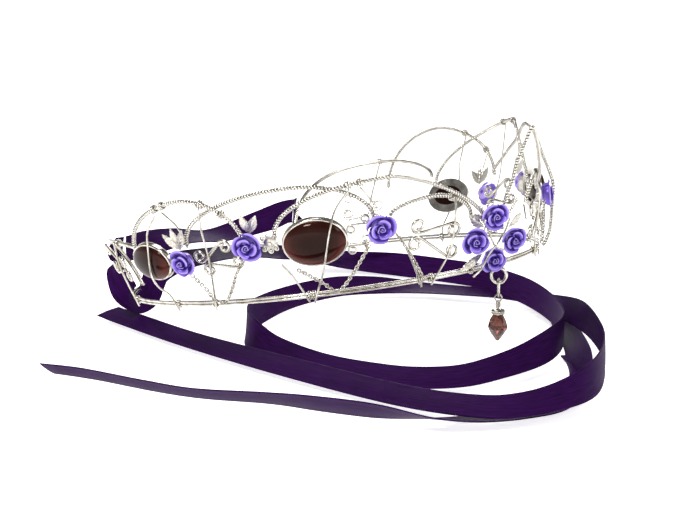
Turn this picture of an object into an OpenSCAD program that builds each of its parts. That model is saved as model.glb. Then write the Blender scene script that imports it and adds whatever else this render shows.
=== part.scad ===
// Open wire crown with satin ties. Millimetres, +Z up, the wearer faces -Y.
// The origin is the centre of the base ring, where the crown sits on a head.
// Places on the crown are an angle from the front (positive towards the
// wearer's right, -X) and a height above the base wires.

/* [Band] */
// Radius of the base ring
base_r = 75.5; // [72:0.5:80]
// How far the band leans out for each millimetre of height
flare = 0.37; // [0.3:0.01:0.4]
// How far the front is raised, in degrees
pitch = 10; // [8:0.5:12]
// Thickness of each base wire
base_wire = 0.9; // [0.7:0.1:1]
// Thickness of the twisted arch wire
arch_wire = 1.6; // [1.4:0.1:1.7]
// Thickness of the wire of scrolls and the end frames
scroll_wire = 1.1; // [0.9:0.1:1.2]
// Thickness of the fine wire that laces the band
lace_wire = 0.6; // [0.5:0.05:0.7]
// Thickness of the rope chain
chain_d = 1.6; // [1.4:0.1:1.7]

/* [Stones and flowers] */
// Length of the two large oval stones
large_l = 20.4; // [19.5:0.1:21]
// Height of the two large oval stones
large_h = 15.8; // [15:0.1:16.5]
// Length of the two small oval stones
small_l = 18; // [17:0.5:18.5]
// Height of the two small oval stones
small_h = 13; // [12:0.5:13.5]
// Width of a flower
rose_d = 10.4; // [10:0.2:11]
// Depth of a flower
rose_t = 5.4; // [5:0.2:6]
// Widest part of the hanging stone
drop_d = 6.8; // [6:0.1:7]

/* [Ribbon] */
// Width of the ribbon
ribbon_w = 10; // [9:0.5:10]
// Thickness of the ribbon's solid
ribbon_t = 1; // [0.8:0.1:1]

/* [Hidden] */
// the wearer's left front was bent upright, round this angle and over this half width
upright_at = -46;
upright_w = 46;
upright = 0.9;
// the left half is a little longer than the right half
spread = 1.05;
clear = 0.2;
wire_sides = 6;
lace_sides = 5;
oval_sides = 36;
stone_sides = 28;
rim = 0.5;
plate = 0.5;
cup_out = 1;
rose_out = 1.8;
leaf_out = 0.95;
arch_steps = 11;
big = 200;

// arches: left foot angle and height, crest angle and height, right foot
// angle and height, fullness of the left and right shoulder, layer
ARCH_ROWS = [
    ["arch_right_back", 100, 19, 78.5, 36.4, 66, 21, 1.7, 1.9, 0],
    ["arch_right_middle", 82, 20, 54, 36.2, 35.8, 22, 1.9, 2, -1],
    ["arch_right_front", 58.5, 21, 32, 36.4, 7, 17, 2.1, 1.3, 0],
    ["arch_right_small", 32, 23, 21.5, 27.2, 10.5, 18, 1.8, 1.8, -1],
    ["arch_left_small", -32, 23, -22, 27.2, -13, 18.5, 1.8, 1.8, -1],
    ["arch_left_middle", -100.5, 22, -68, 45, -43, 19, 1.75, 1.6, -1],
    ["arch_left_back", -116, 22, -101, 44.2, -79.5, 24, 2, 1.5, 0],
    ["end_frame_right", 143.5, 1, 122, 21.8, 102, 20, 2.4, 2, -1],
    ["end_frame_left", -146, 1, -118, 32.5, -102, 24, 2.4, 2, -1]
];

// stones: name, angle, height, length, height of the oval
STONE_ROWS = [
    ["right_front", 49.6, 19.3, large_l, large_h],
    ["right_back", 92.4, 17.2, small_l, small_h],
    ["left_front", -52, 19.6, large_l, large_h],
    ["left_back", -97.5, 17, small_l, small_h]
];

// flowers: name, angle, height, turn, size
ROSE_ROWS = [
    ["rose_front_top", 6.9, 19.3, 20, 0.94],
    ["rose_front_right", 12, 12.1, 75, 0.94],
    ["rose_front_left", -1.1, 9.7, 130, 0.94],
    ["rose_front_bottom", 5.3, 4.3, 200, 0.9],
    ["rose_right_front", 35.4, 21.9, 0, 1],
    ["rose_right_middle", 64, 21.2, 40, 1],
    ["rose_right_back", 81.2, 17.4, 95, 0.96],
    ["rose_left_front", -38.5, 18.4, 60, 1],
    ["rose_left_middle", -67, 21.2, 10, 1],
    ["rose_left_back", -85.3, 17.6, 150, 0.96]
];

// scroll pairs: name, angle and height of the apex, turn, size (below 0 for a mirrored one)
SCROLL_ROWS = [
    ["scrolls_right_front", 24.5, 15.6, 0, 1],
    ["scrolls_right_back", 76.2, 15.6, 30, 0.85],
    ["scrolls_right_end", 114, 13, 180, 0.9],
    ["scrolls_left_front", -25.7, 15.6, 0, -1],
    ["scrolls_left_back", -79, 15.6, 30, -0.85],
    ["scrolls_left_end", -121.5, 13, 180, -0.9]
];

// rope chains: name, side, then angle and height of the places passed, and
// the distance out where it isn't the usual one
CHAIN_ROWS = [
    ["chain_right_back", 1, [[81.3, 11.6], [78.6, 6.2], [77.7, 3], [75.3, 1.6], [73.7, 2.7], [71.5, 6.4],
        [69, 11.7], [66.8, 15]]],
    ["chain_right_middle", 1, [[54.2, 10.4], [49.3, 5.3], [46.1, 1.9], [42.3, 6.7], [37.9, 15.6]]],
    ["chain_right_front", 1, [[30.7, 16.7], [27.8, 9.6], [25.2, 2.9]]],
    ["chain_left_back", -1, [[81.3, 11.6], [78.6, 6.2], [77.7, 3], [75.3, 1.6], [73.7, 2.7],
        [71.5, 6.4, 2.8], [69, 11.7, 4], [66.9, 14.4, 4]]],
    ["chain_left_middle", -1, [[54.2, 10.4], [49.3, 5.3], [46.1, 1.9], [42.3, 6.7], [38.4, 11.6]]],
    ["chain_left_front", -1, [[30.7, 16.7], [27.8, 9.6], [25.2, 2.9]]]
];

// lacing: rows of angle, height and distance out from the band. The last two of the right
// half cross in front of the front flowers
LACE_RIGHT = [
    [[85.8, 32.6, 1.3], [88.7, 28.2, 3.2], [89.4, 22.8, 5.2], [91.3, 14.6, 6], [93, 8.8, 3.8],
        [92.6, 4.4, 1.4], [92, -1.6, 0.9]],
    [[83.4, 33.8, 1.3], [80.9, 29.6, 1.6], [80, 27.2, 2]],
    [[73.6, 34, 1.3], [74.8, 26.8, 1.2], [75.6, 17, 1], [76.7, 9.7, 0.9], [78.9, -1.6, 0.9]],
    [[68.4, 32, 1.3], [66.3, 26.5, 1.3]],
    [[58.2, 12.8, 1.2], [55.8, 7, 0.9], [53.2, -1.6, 0.9]],
    [[41.1, 34.6, 1.3], [44.4, 29.6, 3.4], [46, 24.5, 6], [47.6, 16, 6.2], [48.9, 9.2, 4.2], [50.4, 4, 3.3],
        [52, -1.6, 0.9]],
    [[38.8, 34.8, 1.3], [35.6, 27.8, 2]],
    [[31.6, 18.4, 1], [28.3, 10.4, 0.9], [24.7, -1.6, 0.9]],
    [[16.4, 25.7, -0.6], [16.6, 23.6, 0.8], [16.9, 21, 1.5], [17.2, 12.6, 1.8], [18.2, 7, 1.3],
        [22, -1.6, 0.9]],
    [[112, 22.6, -0.4], [114.5, 13, 1], [117, -1.6, 0.9]],
    [[10.8, 18.8, 3], [10.6, 17.3, 5.5], [10.3, 15.9, 7.4], [7.9, 10.7, 7.6], [4.4, 8.5, 7.5]],
    [[0.7, 17, 3], [3.6, 14.7, 5.5], [5.9, 13.2, 7], [8, 11.9, 8.6], [9.1, 8.6, 7.5], [9.7, 3, 5.5],
        [9.2, -1.6, 1.4]]
];
LACE_LEFT = [
    [[-93, 40.8, 1.2], [-95, 30, 2.6], [-96, 23, 5.2], [-97.5, 15, 6], [-98.5, 8.8, 3.8], [-98.6, 4.4, 1.4],
        [-98, -1.6, 0.9]],
    [[-84.6, 33.4, 1.2], [-85.6, 29.4, 1.6], [-86.4, 26.8, 2]],
    [[-75.5, 44.2, -0.5], [-76.6, 34, 0.3], [-77.6, 24, 1], [-79, 16, 1], [-80.4, 9.7, 0.9],
        [-82.8, -1.6, 0.9]],
    [[-66, 44.3, -0.5], [-66.4, 36, 1], [-66.8, 29.4, 2]],
    [[-61, 12.8, 1.4], [-58.6, 7, 1.1], [-55.9, -1.6, 1.3]],
    [[-33.2, 18.4, 1], [-29.7, 10.4, 1], [-25.9, -1.6, 1.3]],
    [[-17.2, 25.5, -0.6], [-17.4, 23.6, 0.8], [-17.8, 21, 1.5], [-18.1, 12.6, 1.8], [-19.1, 7, 1.3],
        [-23.1, -1.6, 0.9]],
    [[-118, 33.6, -0.4], [-122.6, 13, 1], [-124, -1.6, 0.9]]
];

// ribbon routes, held in place: x, y, z and lean of the width from level
RIBBON_RIGHT = [
    [-49, 64.8, 5, 90], [-50.8, 65, 4.8, 90], [-53, 64.4, 0, 90], [-52, 61.6, -8.5, 84],
    [-49.6, 60.6, -13, 72], [-45, 61.6, -15.3, 62], [-38.6, 62.8, -14.2, 60], [-35.4, 63.6, -10, 56],
    [-31, 64.6, -6.2, 48], [-17, 67, -4.8, 34], [10, 73, -7.4, 22], [27, 75.5, -9.8, 24],
    [44, 75, -13, 28], [58.9, 71, -15.3, 27], [63.8, 53.2, -16.2, 35], [73, 32, -16.4, 60],
    [77, 4, -15.8, 60], [77, -10, -15.4, 62], [73, -25, -15.2, 66], [66, -40, -14.6, 72],
    [56, -56, -14.4, 80], [44, -71, -14.6, 86], [32, -81, -14.8, 92], [18, -87, -15.2, 110],
    [3, -88.5, -16.6, 135], [-12, -86.5, -17.8, 148], [-25, -81.5, -19.1, 150], [-36, -73, -19.2, 150],
    [-43, -61, -19.2, 150], [-48, -38, -19.2, 149], [-47, -14, -18.6, 142], [-43, 0, -17.6, 125],
    [-35, 12, -16.9, 95], [-24, 20, -17, 70], [-11, 27, -17.9, 50], [4, 32, -18.5, 42],
    [20, 33, -18.6, 40], [35, 30, -18.6, 38], [48, 22, -19.2, 30], [58, 10, -20, 14], [66, -6, -20, 8],
    [72, -24, -19.4, 8], [71, -42, -18.2, 16], [63, -60, -16.6, 42], [51, -77, -15.2, 75],
    [37, -92, -14.8, 86], [22, -105, -14.8, 90], [6, -115, -15.6, 100], [-10, -121, -16.4, 120],
    [-26, -122, -16.8, 142], [-41, -118, -17.2, 150], [-51, -108, -17.6, 152],
    [-54.2, -78.4, -19.7, 156], [-56.3, -30.2, -19.8, 158], [-54.6, 19.7, -20.5, 166],
    [-50.5, 60.9, -20.7, 168], [-48.6, 75.1, -20.8, 170]
];
RIBBON_LEFT = [
    [46.9, 68.2, 5.6, 90], [49.4, 69.4, 5.6, 90], [54, 74, 3.6, 92], [60, 81, -4, 100],
    [66, 78, -14, 130], [72, 68, -20.6, 165], [82, 48, -21.3, 176], [90, 24, -21.3, 177],
    [93, 0, -21.3, 177], [88, -24, -21.3, 177], [74, -48, -21.3, 177], [55, -66, -21.3, 177],
    [36, -84, -21.3, 176], [20, -96, -20.8, 160], [5, -103, -18.6, 130], [-9, -112, -20.6, 30],
    [-25, -119, -21.3, 3], [-41, -116, -21.3, 3], [-55, -108, -21.1, 7], [-65.5, -100, -20, 20],
    [-75.6, -87.2, -18.2, 44], [-82.6, -70.1, -18.1, 46], [-88.6, -52.7, -18.6, 39],
    [-99.6, -33.1, -18.8, 36], [-105.4, -16, -18.6, 38], [-110.7, 9.1, -18.6, 38],
    [-115.8, 24.6, -18.8, 35]
];
RIBBON_BACK = [
    [-46.9, 65.1, 5, 90], [-43, 65.6, 5, 88], [-33, 67, 5, 60], [-14, 70, 4, 30], [6, 72, 0.8, 22],
    [30, 71, 3, 50], [42, 68.8, 5.6, 88], [46.3, 68.2, 5.6, 90]
];

function unit(v) = v / norm(v);
function row(rows, name) = [for (r = rows) if (r[0] == name) r][0];

// How far the band leans out at an angle
function flare_at(t) = abs(t - upright_at) >= upright_w ? flare
    : flare * (1 - upright * pow(cos(90 * (t - upright_at) / upright_w), 2));
function slope_at(t) = atan(flare_at(t));

// A place on the leaning band, with a distance out along its normal
function on_band(t, z, out = 0) =
    let (r = base_r + flare_at(t) * z + out * cos(slope_at(t)))
    [-r * sin(t), -r * cos(t), z - out * sin(slope_at(t))];

function other(side, t) = side > 0 ? t : -spread * t;

// A smooth curve through points, with n steps between two of them
function between(p, i, s) =
    let (a = p[max(i - 1, 0)], b = p[i], c = p[i + 1], d = p[min(i + 2, len(p) - 1)])
    0.5 * (2 * b + (c - a) * s + (2 * a - 5 * b + 4 * c - d) * s * s + (3 * b - a - 3 * c + d) * s * s * s);
function smooth(p, n) = concat(
    [for (i = [0 : len(p) - 2]) for (k = [0 : n - 1]) between(p, i, k / n)], [p[len(p) - 1]]);

function tangents(p) = [for (i = [0 : len(p) - 1])
    unit(p[min(i + 1, len(p) - 1)] - p[max(i - 1, 0)])];

// Side vectors along a path, each the last one turned as little as needed
function sides_of(t, first) = [
    for (i = 0, n = unit(first - (first * t[0]) * t[0]); i < len(t);
        i = i + 1, n = i < len(t) ? unit(n - (n * t[i]) * t[i]) : n) n];

function tube_faces(rings, sides) = concat(
    [[for (k = [0 : sides - 1]) k]],
    [for (i = [0 : rings - 2]) for (k = [0 : sides - 1])
        let (a = i * sides + k, b = i * sides + (k + 1) % sides)
        each [[a, a + sides, b + sides], [a, b + sides, b]]],
    [[for (k = [sides - 1 : -1 : 0]) (rings - 1) * sides + k]]);

// A round wire along a path
module wire(path, d, sides = wire_sides, first = [0, 0, 1]) {
    t = tangents(path);
    n = sides_of(t, first);
    points = [for (i = [0 : len(path) - 1]) for (k = [0 : sides - 1])
        let (a = 360 * (k + 0.5) / sides)
        path[i] + d / 2 * (cos(a) * n[i] + sin(a) * cross(t[i], n[i]))];
    polyhedron(points, tube_faces(len(path), sides), convexity = 8);
}

// A flat strip along a route whose rows end with the lean of its width
module strip(route, w, t) {
    rows = smooth(route, 1);
    path = [for (r = rows) [r[0], r[1], r[2]]];
    along = tangents(path);
    points = [for (i = [0 : len(path) - 1])
        let (level = unit(cross([0, 0, 1], along[i])), up = cross(along[i], level),
            across = cos(rows[i][3]) * level + sin(rows[i][3]) * up, face = cross(along[i], across))
        each [path[i] - across * w / 2 - face * t / 2, path[i] + across * w / 2 - face * t / 2,
            path[i] + across * w / 2 + face * t / 2, path[i] - across * w / 2 + face * t / 2]];
    polyhedron(points, tube_faces(len(path), 4), convexity = 8);
}

// Lays a flat piece on the band: its x runs level, its y up, its z outwards
module on(t, z, out = 0) {
    translate(on_band(t, z, out)) rotate([0, 0, -t]) rotate([90 + slope_at(t), 0, 0]) children();
}

module tipped() rotate([-pitch, 0, 0]) children();

function oval(l, h) = [for (k = [0 : oval_sides - 1])
    let (a = 360 * k / oval_sides) [l / 2 * cos(a), h / 2 * sin(a)]];

// One base wire, a plain arc bent to the head
module base_arc(z) {
    color("silver") tipped() translate([0, 0, z]) rotate([0, 0, -90 - right_end])
        rotate_extrude(angle = right_end + left_end, $fn = 96)
            translate([base_r + flare * z, 0]) circle(d = base_wire, $fn = 24);
}
right_end = 143.4;
left_end = 146.4;

// Quarter shoulders of an arch: height falls from the crest by a power curve
function arch_height(s, foot, crest, full) = foot + (crest - foot) * pow(1 - pow(s, full), 1 / full);
function arch_path(r) =
    let (out = r[9] * (arch_wire + clear))
    concat(
        [for (k = [arch_steps : -1 : 1]) let (s = sin(90 * k / arch_steps))
            on_band(r[3] + (r[1] - r[3]) * s, arch_height(s, r[2], r[4], r[7]), out)],
        [for (k = [0 : arch_steps]) let (s = sin(90 * k / arch_steps))
            on_band(r[3] + (r[5] - r[3]) * s, arch_height(s, r[6], r[4], r[8]), out)]);
module arch(name) {
    color("gainsboro") tipped() wire(arch_path(row(ARCH_ROWS, name)), arch_wire);
}

// Free-form arches: angle, height and distance out. The outer one passes in
// front of the left front stone and ends below the base
FREE_ROWS = [
    ["arch_left_outer", [[-82.2, 25.2, 1.9], [-80.2, 28.4, 1.9], [-77.3, 31.6, 1.9], [-75.2, 34, 1.9],
        [-71.9, 36.5, 1.9], [-67.6, 40, 1.9], [-63.7, 42.9, 1.8], [-57, 43.9, 1.6], [-50, 43.7, 1.2],
        [-43, 43, 0.9], [-40.2, 40.9, 1.2], [-40.6, 36.6, 2.7], [-42, 31.5, 4.4], [-43.6, 26.5, 6.4],
        [-43.7, 20.8, 7.6], [-42.4, 12.1, 6.2], [-41.8, 3.9, 4.6], [-41.6, -1.2, 1.9]]],
    ["arch_left_front", [[0.8, 12.6, 0.7], [1.5, 16, 0.8], [1.7, 19.6, 0.9], [1.4, 24.3, 0.9],
        [0.2, 28.5, 0.9], [0, 32, 0.9], [-0.4, 35.4, 0.9], [-1.6, 39.2, 0.9], [-2.4, 41.6, 0.9],
        [-3.1, 44.2, 0.9], [-4.4, 45.4, 0.9], [-7.2, 41.8, 0.6], [-11.6, 37.2, 0.2], [-16.3, 32.6, 0],
        [-24.6, 27.4, 0], [-33.6, 23.6, 0], [-38.4, 22.2, 0]]]
];
module free_arch(name) {
    color("gainsboro") tipped()
        wire(smooth([for (r = row(FREE_ROWS, name)[1]) on_band(r[0], r[1], r[2])], 2), arch_wire);
}

// An open cup: a flat back and a thin wall round an oval stone
module bezel(name) {
    r = row(STONE_ROWS, name);
    wall = 1.9;
    color("silver") tipped() on(r[1], r[2], cup_out) difference() {
        linear_extrude(wall) polygon(oval(r[3] + 2 * rim, r[4] + 2 * rim));
        translate([0, 0, plate]) linear_extrude(wall) polygon(oval(r[3] + 0.1, r[4] + 0.1));
    }
}

// A polished dome on a flat oval base
module stone(name) {
    r = row(STONE_ROWS, name);
    rise = r[4] * 0.2;
    steps = 5;
    girdle = 1.2;
    l = r[3] - clear;
    h = r[4] - clear;
    points = concat(
        [for (k = [0 : stone_sides - 1]) let (a = 360 * k / stone_sides) [l / 2 * cos(a), h / 2 * sin(a), 0]],
        [for (j = [0 : steps - 1]) for (k = [0 : stone_sides - 1])
            let (a = 360 * k / stone_sides, e = 90 * j / steps)
            [l / 2 * cos(a) * cos(e), h / 2 * sin(a) * cos(e), girdle + rise * sin(e)]],
        [[0, 0, girdle + rise]]);
    top = len(points) - 1;
    faces = concat(
        [[for (k = [0 : stone_sides - 1]) k]],
        [for (j = [0 : steps - 1]) for (k = [0 : stone_sides - 1])
            let (a = j * stone_sides + k, b = j * stone_sides + (k + 1) % stone_sides)
            [a, a + stone_sides, b + stone_sides, b]],
        [for (k = [0 : stone_sides - 1])
            [steps * stone_sides + k, top, steps * stone_sides + (k + 1) % stone_sides]]);
    color([0.16, 0.05, 0.05]) tipped() on(r[1], r[2], cup_out + plate + clear / 2)
        polyhedron(points, faces, convexity = 4);
}

// rings of a flower: radius, height, lobe depth, lobe turn, of its radius and depth
ROSE_RINGS = [
    [0.3, -0.12, 0, 0], [0.8, 0, 0.05, 0], [0.96, 0.26, 0.09, 0], [1, 0.52, 0.1, 0],
    [0.8, 0.62, 0.08, 0], [0.6, 0.4, 0.05, 60], [0.5, 0.88, 0.07, 60], [0.34, 0.84, 0.07, 60],
    [0.27, 0.55, 0.04, 0], [0.17, 1, 0.03, 0]
];
rose_sides = 21;
module rose(name) {
    r = row(ROSE_ROWS, name);
    points = concat(
        [for (g = ROSE_RINGS) for (k = [0 : rose_sides - 1])
            let (a = 360 * k / rose_sides, lobe = 1 - g[2] + g[2] * cos(3 * (a - g[3])),
                q = r[4] * rose_d / 2 * g[0] * lobe)
            [q * cos(a), q * sin(a), rose_t * g[1]]],
        [[0, 0, rose_t * 0.86]]);
    top = len(points) - 1;
    last = len(ROSE_RINGS) - 1;
    faces = concat(
        [[for (k = [0 : rose_sides - 1]) k]],
        [for (j = [0 : last - 1]) for (k = [0 : rose_sides - 1])
            let (a = j * rose_sides + k, b = j * rose_sides + (k + 1) % rose_sides)
            [a, a + rose_sides, b + rose_sides, b]],
        [for (k = [0 : rose_sides - 1])
            [last * rose_sides + k, top, last * rose_sides + (k + 1) % rose_sides]]);
    color("mediumpurple") tipped() on(r[1], r[2], rose_out) rotate([0, 0, r[3]])
        polyhedron(points, faces, convexity = 8);
}

// A straight arm from [0, 0] along x with a coil at each end, as an S
coil_steps = 11;
coil_turns = 1.1;
function s_scroll(l, r_start, r_end) = concat(
    [for (k = [0 : coil_steps - 1])
        let (s = k / coil_steps, a = -90 - 360 * coil_turns * (1 - s), r = r_start * (0.45 + 0.55 * s))
        [r * cos(a), r_start + r * sin(a), 0]],
    [[0, 0, 0], [l, 0, 0]],
    [for (k = [1 : coil_steps])
        let (s = k / coil_steps, a = 90 - 360 * coil_turns * s, r = r_end * (1 - 0.55 * s))
        [l + r * cos(a), -r_end + r * sin(a), 0]]);
function turned(path, a, at = [0, 0, 0]) = [for (p = path)
    [p[0] * cos(a) - p[1] * sin(a), p[0] * sin(a) + p[1] * cos(a), p[2]] + at];
function flipped(path) = [for (p = path) [p[0], -p[1], p[2]]];

// Two scrolls that touch at an apex and spread, one above the other
module scroll_pair(name) {
    r = row(SCROLL_ROWS, name);
    k = abs(r[4]);
    m = sign(r[4]);
    touch = scroll_wire / 2 - 0.05;
    color("silver") tipped() on(r[1], r[2], 0) rotate([0, 0, m * r[3]]) {
        wire([for (p = turned(s_scroll(12 * k, 2.6 * k, 2.6 * k), 8, [-1.3, touch + 0.4, 0]))
            [m * p[0], p[1], p[2]]], scroll_wire, lace_sides);
        wire([for (p = turned(flipped(s_scroll(13 * k, 2.6 * k, 2.4 * k)), -40, [-1, -touch - 0.4, 0]))
            [m * p[0], p[1], p[2]]], scroll_wire, lace_sides);
    }
}

module links(side) {
    color("silver") tipped() for (v = [22.9, 16])
        on(other(side, 39.9), v, 1)
            wire([for (p = s_scroll(4.4, 1.7, 1.6)) [side * (2.2 - p[0]), p[1], p[2]]], 0.7, lace_sides);
}

// A pierced round leafy plate between stone and flower
module floret(side) {
    color("silver") tipped() on(other(side, 59.7), 20.2, leaf_out) linear_extrude(0.5) difference() {
        union() {
            circle(d = 5, $fn = 32);
            for (k = [0 : 7]) rotate([0, 0, 45 * k]) translate([2.6, 0]) circle(d = 2.1, $fn = 24);
        }
        for (k = [0 : 7]) rotate([0, 0, 45 * k]) translate([2.6, 0]) circle(d = 0.9, $fn = 16);
    }
}

// A pointed leaf outline of two arcs
function leaf_outline(l, w) = concat(
    [for (k = [0 : 8]) [l * k / 8, w / 2 * sin(180 * k / 8)]],
    [for (k = [7 : -1 : 1]) [l * k / 8, -w / 2 * sin(180 * k / 8)]]);
module leaf(l, w, turn) rotate([0, 0, turn]) linear_extrude(0.5) polygon(leaf_outline(l, w));

module leaves_side(side) {
    over = [side < 0 ? 1 : 0, 0, 0];
    color("silver") tipped() {
        on(other(side, 82.4), 20.6, leaf_out) mirror(over) for (a = [62, 96, 132]) leaf(8, 3, a);
        on(other(side, 63.6), 24.2, leaf_out) mirror(over) for (a = [60, 104]) leaf(7, 2.8, a);
    }
}

// Leaf tips between the front flowers: angle, height, length, width, turn
LEAF_ROWS = [
    [7.4, 15.2, 10, 4.4, 150],
    [7.2, 5.6, 10.4, 3.4, 205],
    [2.6, 5.4, 9.4, 3.2, 320],
    [-1.5, 13, 7.5, 3, 35]
];
module leaves_front() {
    color("silver") tipped() for (r = LEAF_ROWS) on(r[0], r[1], leaf_out) leaf(r[2], r[3], r[4]);
}

module chain(name) {
    r = row(CHAIN_ROWS, name);
    color("silver") tipped()
        wire(smooth([for (p = r[2]) on_band(other(r[1], p[0]), p[1], len(p) > 2 ? p[2] : 2.2)], 2), chain_d);
}

module lacing(strands) {
    color("silver") tipped() for (s = strands)
        wire(smooth([for (p = s) on_band(p[0], p[1], p[2])], 2), lace_wire, lace_sides, [1, 0, 0]);
}

// The drop hangs level from this place under the front of the base
hang = [0.6, -75.4, 13.3];
bail_turn = -45;
bail_r = 2.6;
bail_wire = 0.9;
bail_drop = 3.9;
link_r = 1.4;
link_wire = 0.55;
link_l = 3.4;
eye_r = 1.2;
module hung() translate(hang) rotate([0, 0, bail_turn]) children();
bail_c = -bail_drop;
link_top = bail_c - bail_r;
link_low = link_top - link_l;

// Two turns of wire, side by side, that face the viewer
module bail_ring() {
    turns = 1.9;
    n = 26;
    color("silver") hung() translate([0, 0, bail_c])
        wire([for (k = [0 : n]) let (a = 360 * turns * k / n + 108)
            [bail_r * cos(a), (bail_wire + 0.1) * (k / n - 0.5) * turns, bail_r * sin(a)]],
            bail_wire, wire_sides, [0, 1, 0]);
}

// A long closed link, which passes through the double ring
module drop_link() {
    color("silver") hung() rotate([0, 0, 90]) rotate([90, 0, 0]) {
        for (e = [[link_top, 0], [link_low, 180]]) translate([0, e[0], 0]) rotate([0, 0, e[1]])
            rotate_extrude(angle = 180, $fn = 48) translate([link_r, 0]) circle(d = link_wire, $fn = 16);
        for (x = [-link_r, link_r]) translate([x, link_low, 0]) rotate([-90, 0, 0])
            cylinder(d = link_wire, h = link_l, $fn = 16);
    }
}

// An eye, a wound neck and a round cap in one piece
eye_c = link_low - link_r + 0.7 - eye_r;
cap_top = eye_c - eye_r - 2.6;
module drop_cap() {
    color("silver") hung() {
        translate([0, 0, eye_c]) rotate([90, 0, 0]) rotate_extrude($fn = 48)
            translate([eye_r, 0]) circle(d = link_wire, $fn = 16);
        translate([0, 0, cap_top]) cylinder(d = 1, h = eye_c - eye_r - cap_top, $fn = 24);
        translate([0, 0, eye_c - eye_r - 0.9]) sphere(d = 1.7, $fn = 24);
        translate([0, 0, cap_top - 1.9]) cylinder(d = 4.8, h = 1.9, $fn = 48);
    }
}

// A long faceted drop: a small top face, eight kite sides and a point
drop_rows = [[1.7, 0], [drop_d / 2, -4], [drop_d / 2, -5], [0.5, -9.4]];
drop_sides = 8;
module drop_stone() {
    points = [for (j = [0 : len(drop_rows) - 1]) for (k = [0 : drop_sides - 1])
        let (a = 360 * (k + (j > 1 ? 0.5 : 0)) / drop_sides)
        [drop_rows[j][0] * cos(a), drop_rows[j][0] * sin(a), drop_rows[j][1]]];
    n = drop_sides;
    faces = concat(
        [[for (k = [n - 1 : -1 : 0]) k]],
        [for (j = [0 : 2]) for (k = [0 : n - 1])
            let (a = j * n + k, b = j * n + (k + 1) % n) each [[a, b, a + n], [b, b + n, a + n]]],
        [[for (k = [0 : n - 1]) 3 * n + k]]);
    color("sienna") hung() translate([0, 0, cap_top - 1.9 - 0.05]) polyhedron(points, faces);
}

module ribbon(route) color("indigo") strip(route, ribbon_w, ribbon_t);

base_arc(1.05);  // base_wire_upper
base_arc(0);  // base_wire_lower
for (r = FREE_ROWS) free_arch(r[0]);
for (r = ARCH_ROWS) arch(r[0]);
for (r = STONE_ROWS) bezel(r[0]);
for (r = STONE_ROWS) stone(r[0]);
for (r = ROSE_ROWS) rose(r[0]);
for (r = SCROLL_ROWS) scroll_pair(r[0]);
links(1);  // links_right
links(-1);  // links_left
floret(1);  // floret_right
floret(-1);  // floret_left
leaves_side(1);  // leaves_right
leaves_side(-1);  // leaves_left
leaves_front();
for (r = CHAIN_ROWS) chain(r[0]);
lacing(LACE_RIGHT);  // lacing_right
lacing(LACE_LEFT);  // lacing_left
bail_ring();
drop_link();
drop_cap();
drop_stone();
ribbon(RIBBON_RIGHT);  // ribbon_right
ribbon(RIBBON_LEFT);  // ribbon_left
ribbon(RIBBON_BACK);  // ribbon_back
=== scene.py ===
"""Open wire crown: twisted wire arches, scrolls, rope chains, oval stones, roses, a hanging drop and ribbons.

A place on the crown is an angle t round the head from the front (positive towards the wearer's right), a
height h above the base wires and a distance out along the band's normal, all in degrees and millimetres as in
the part's source. The band is a cone: radius = base radius + flare * h + out * cos(slope), and z = h - out *
sin(slope), and the whole crown is then tipped back by the pitch. The wearer's left front stands nearly
upright, as if it had been bent, so flare and slope depend on the angle there. New pieces are grids of points
worked out from such places.
"""

import math

import bpy
import numpy as np
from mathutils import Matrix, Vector


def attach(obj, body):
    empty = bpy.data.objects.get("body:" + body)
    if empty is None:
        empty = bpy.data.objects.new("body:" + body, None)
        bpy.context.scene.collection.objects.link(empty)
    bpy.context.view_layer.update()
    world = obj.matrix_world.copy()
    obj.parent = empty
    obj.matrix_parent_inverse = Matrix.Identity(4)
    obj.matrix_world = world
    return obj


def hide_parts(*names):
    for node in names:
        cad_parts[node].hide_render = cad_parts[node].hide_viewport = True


bl_info = {
    "name": "Wire crown with ribbon ties",
    "version": (1, 0, 0),
    "blender": (4, 5, 0),
    "location": "View3D > Sidebar > Crown",
    "description": "Dresses the packed wire crown in silver wire, glass, anodised roses and satin ribbon",
    "category": "Object",
}

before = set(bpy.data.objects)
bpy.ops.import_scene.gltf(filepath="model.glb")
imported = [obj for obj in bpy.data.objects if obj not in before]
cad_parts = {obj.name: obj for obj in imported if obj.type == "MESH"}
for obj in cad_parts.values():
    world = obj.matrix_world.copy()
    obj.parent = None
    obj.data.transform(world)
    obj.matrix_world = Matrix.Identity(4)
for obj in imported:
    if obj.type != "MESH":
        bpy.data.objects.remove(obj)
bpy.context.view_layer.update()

MM = 0.001
# the band's radius at the base wires, its lean as a tangent, and how far the crown is tipped back
BASE_R = 75.5
FLARE = 0.37
PITCH = math.radians(10)
# where round the head the band stands upright, how far to each side, and how much of its lean it loses there
UPRIGHT_AT, UPRIGHT_WIDTH, UPRIGHT = -46, 46, 0.9
ARCH_WIRE = 1.6
# a strand's radius over a quarter of its arch's width
STRAND_FULL = 1.04
# the arches cross in two layers this far apart
LAYER = ARCH_WIRE + 0.2
# the left half's angles are the right half's times this
SPREAD = 1.05
FLOOR_Z = -0.0244
# points in a turn of a wound wire
COIL_STEPS = 14

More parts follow.
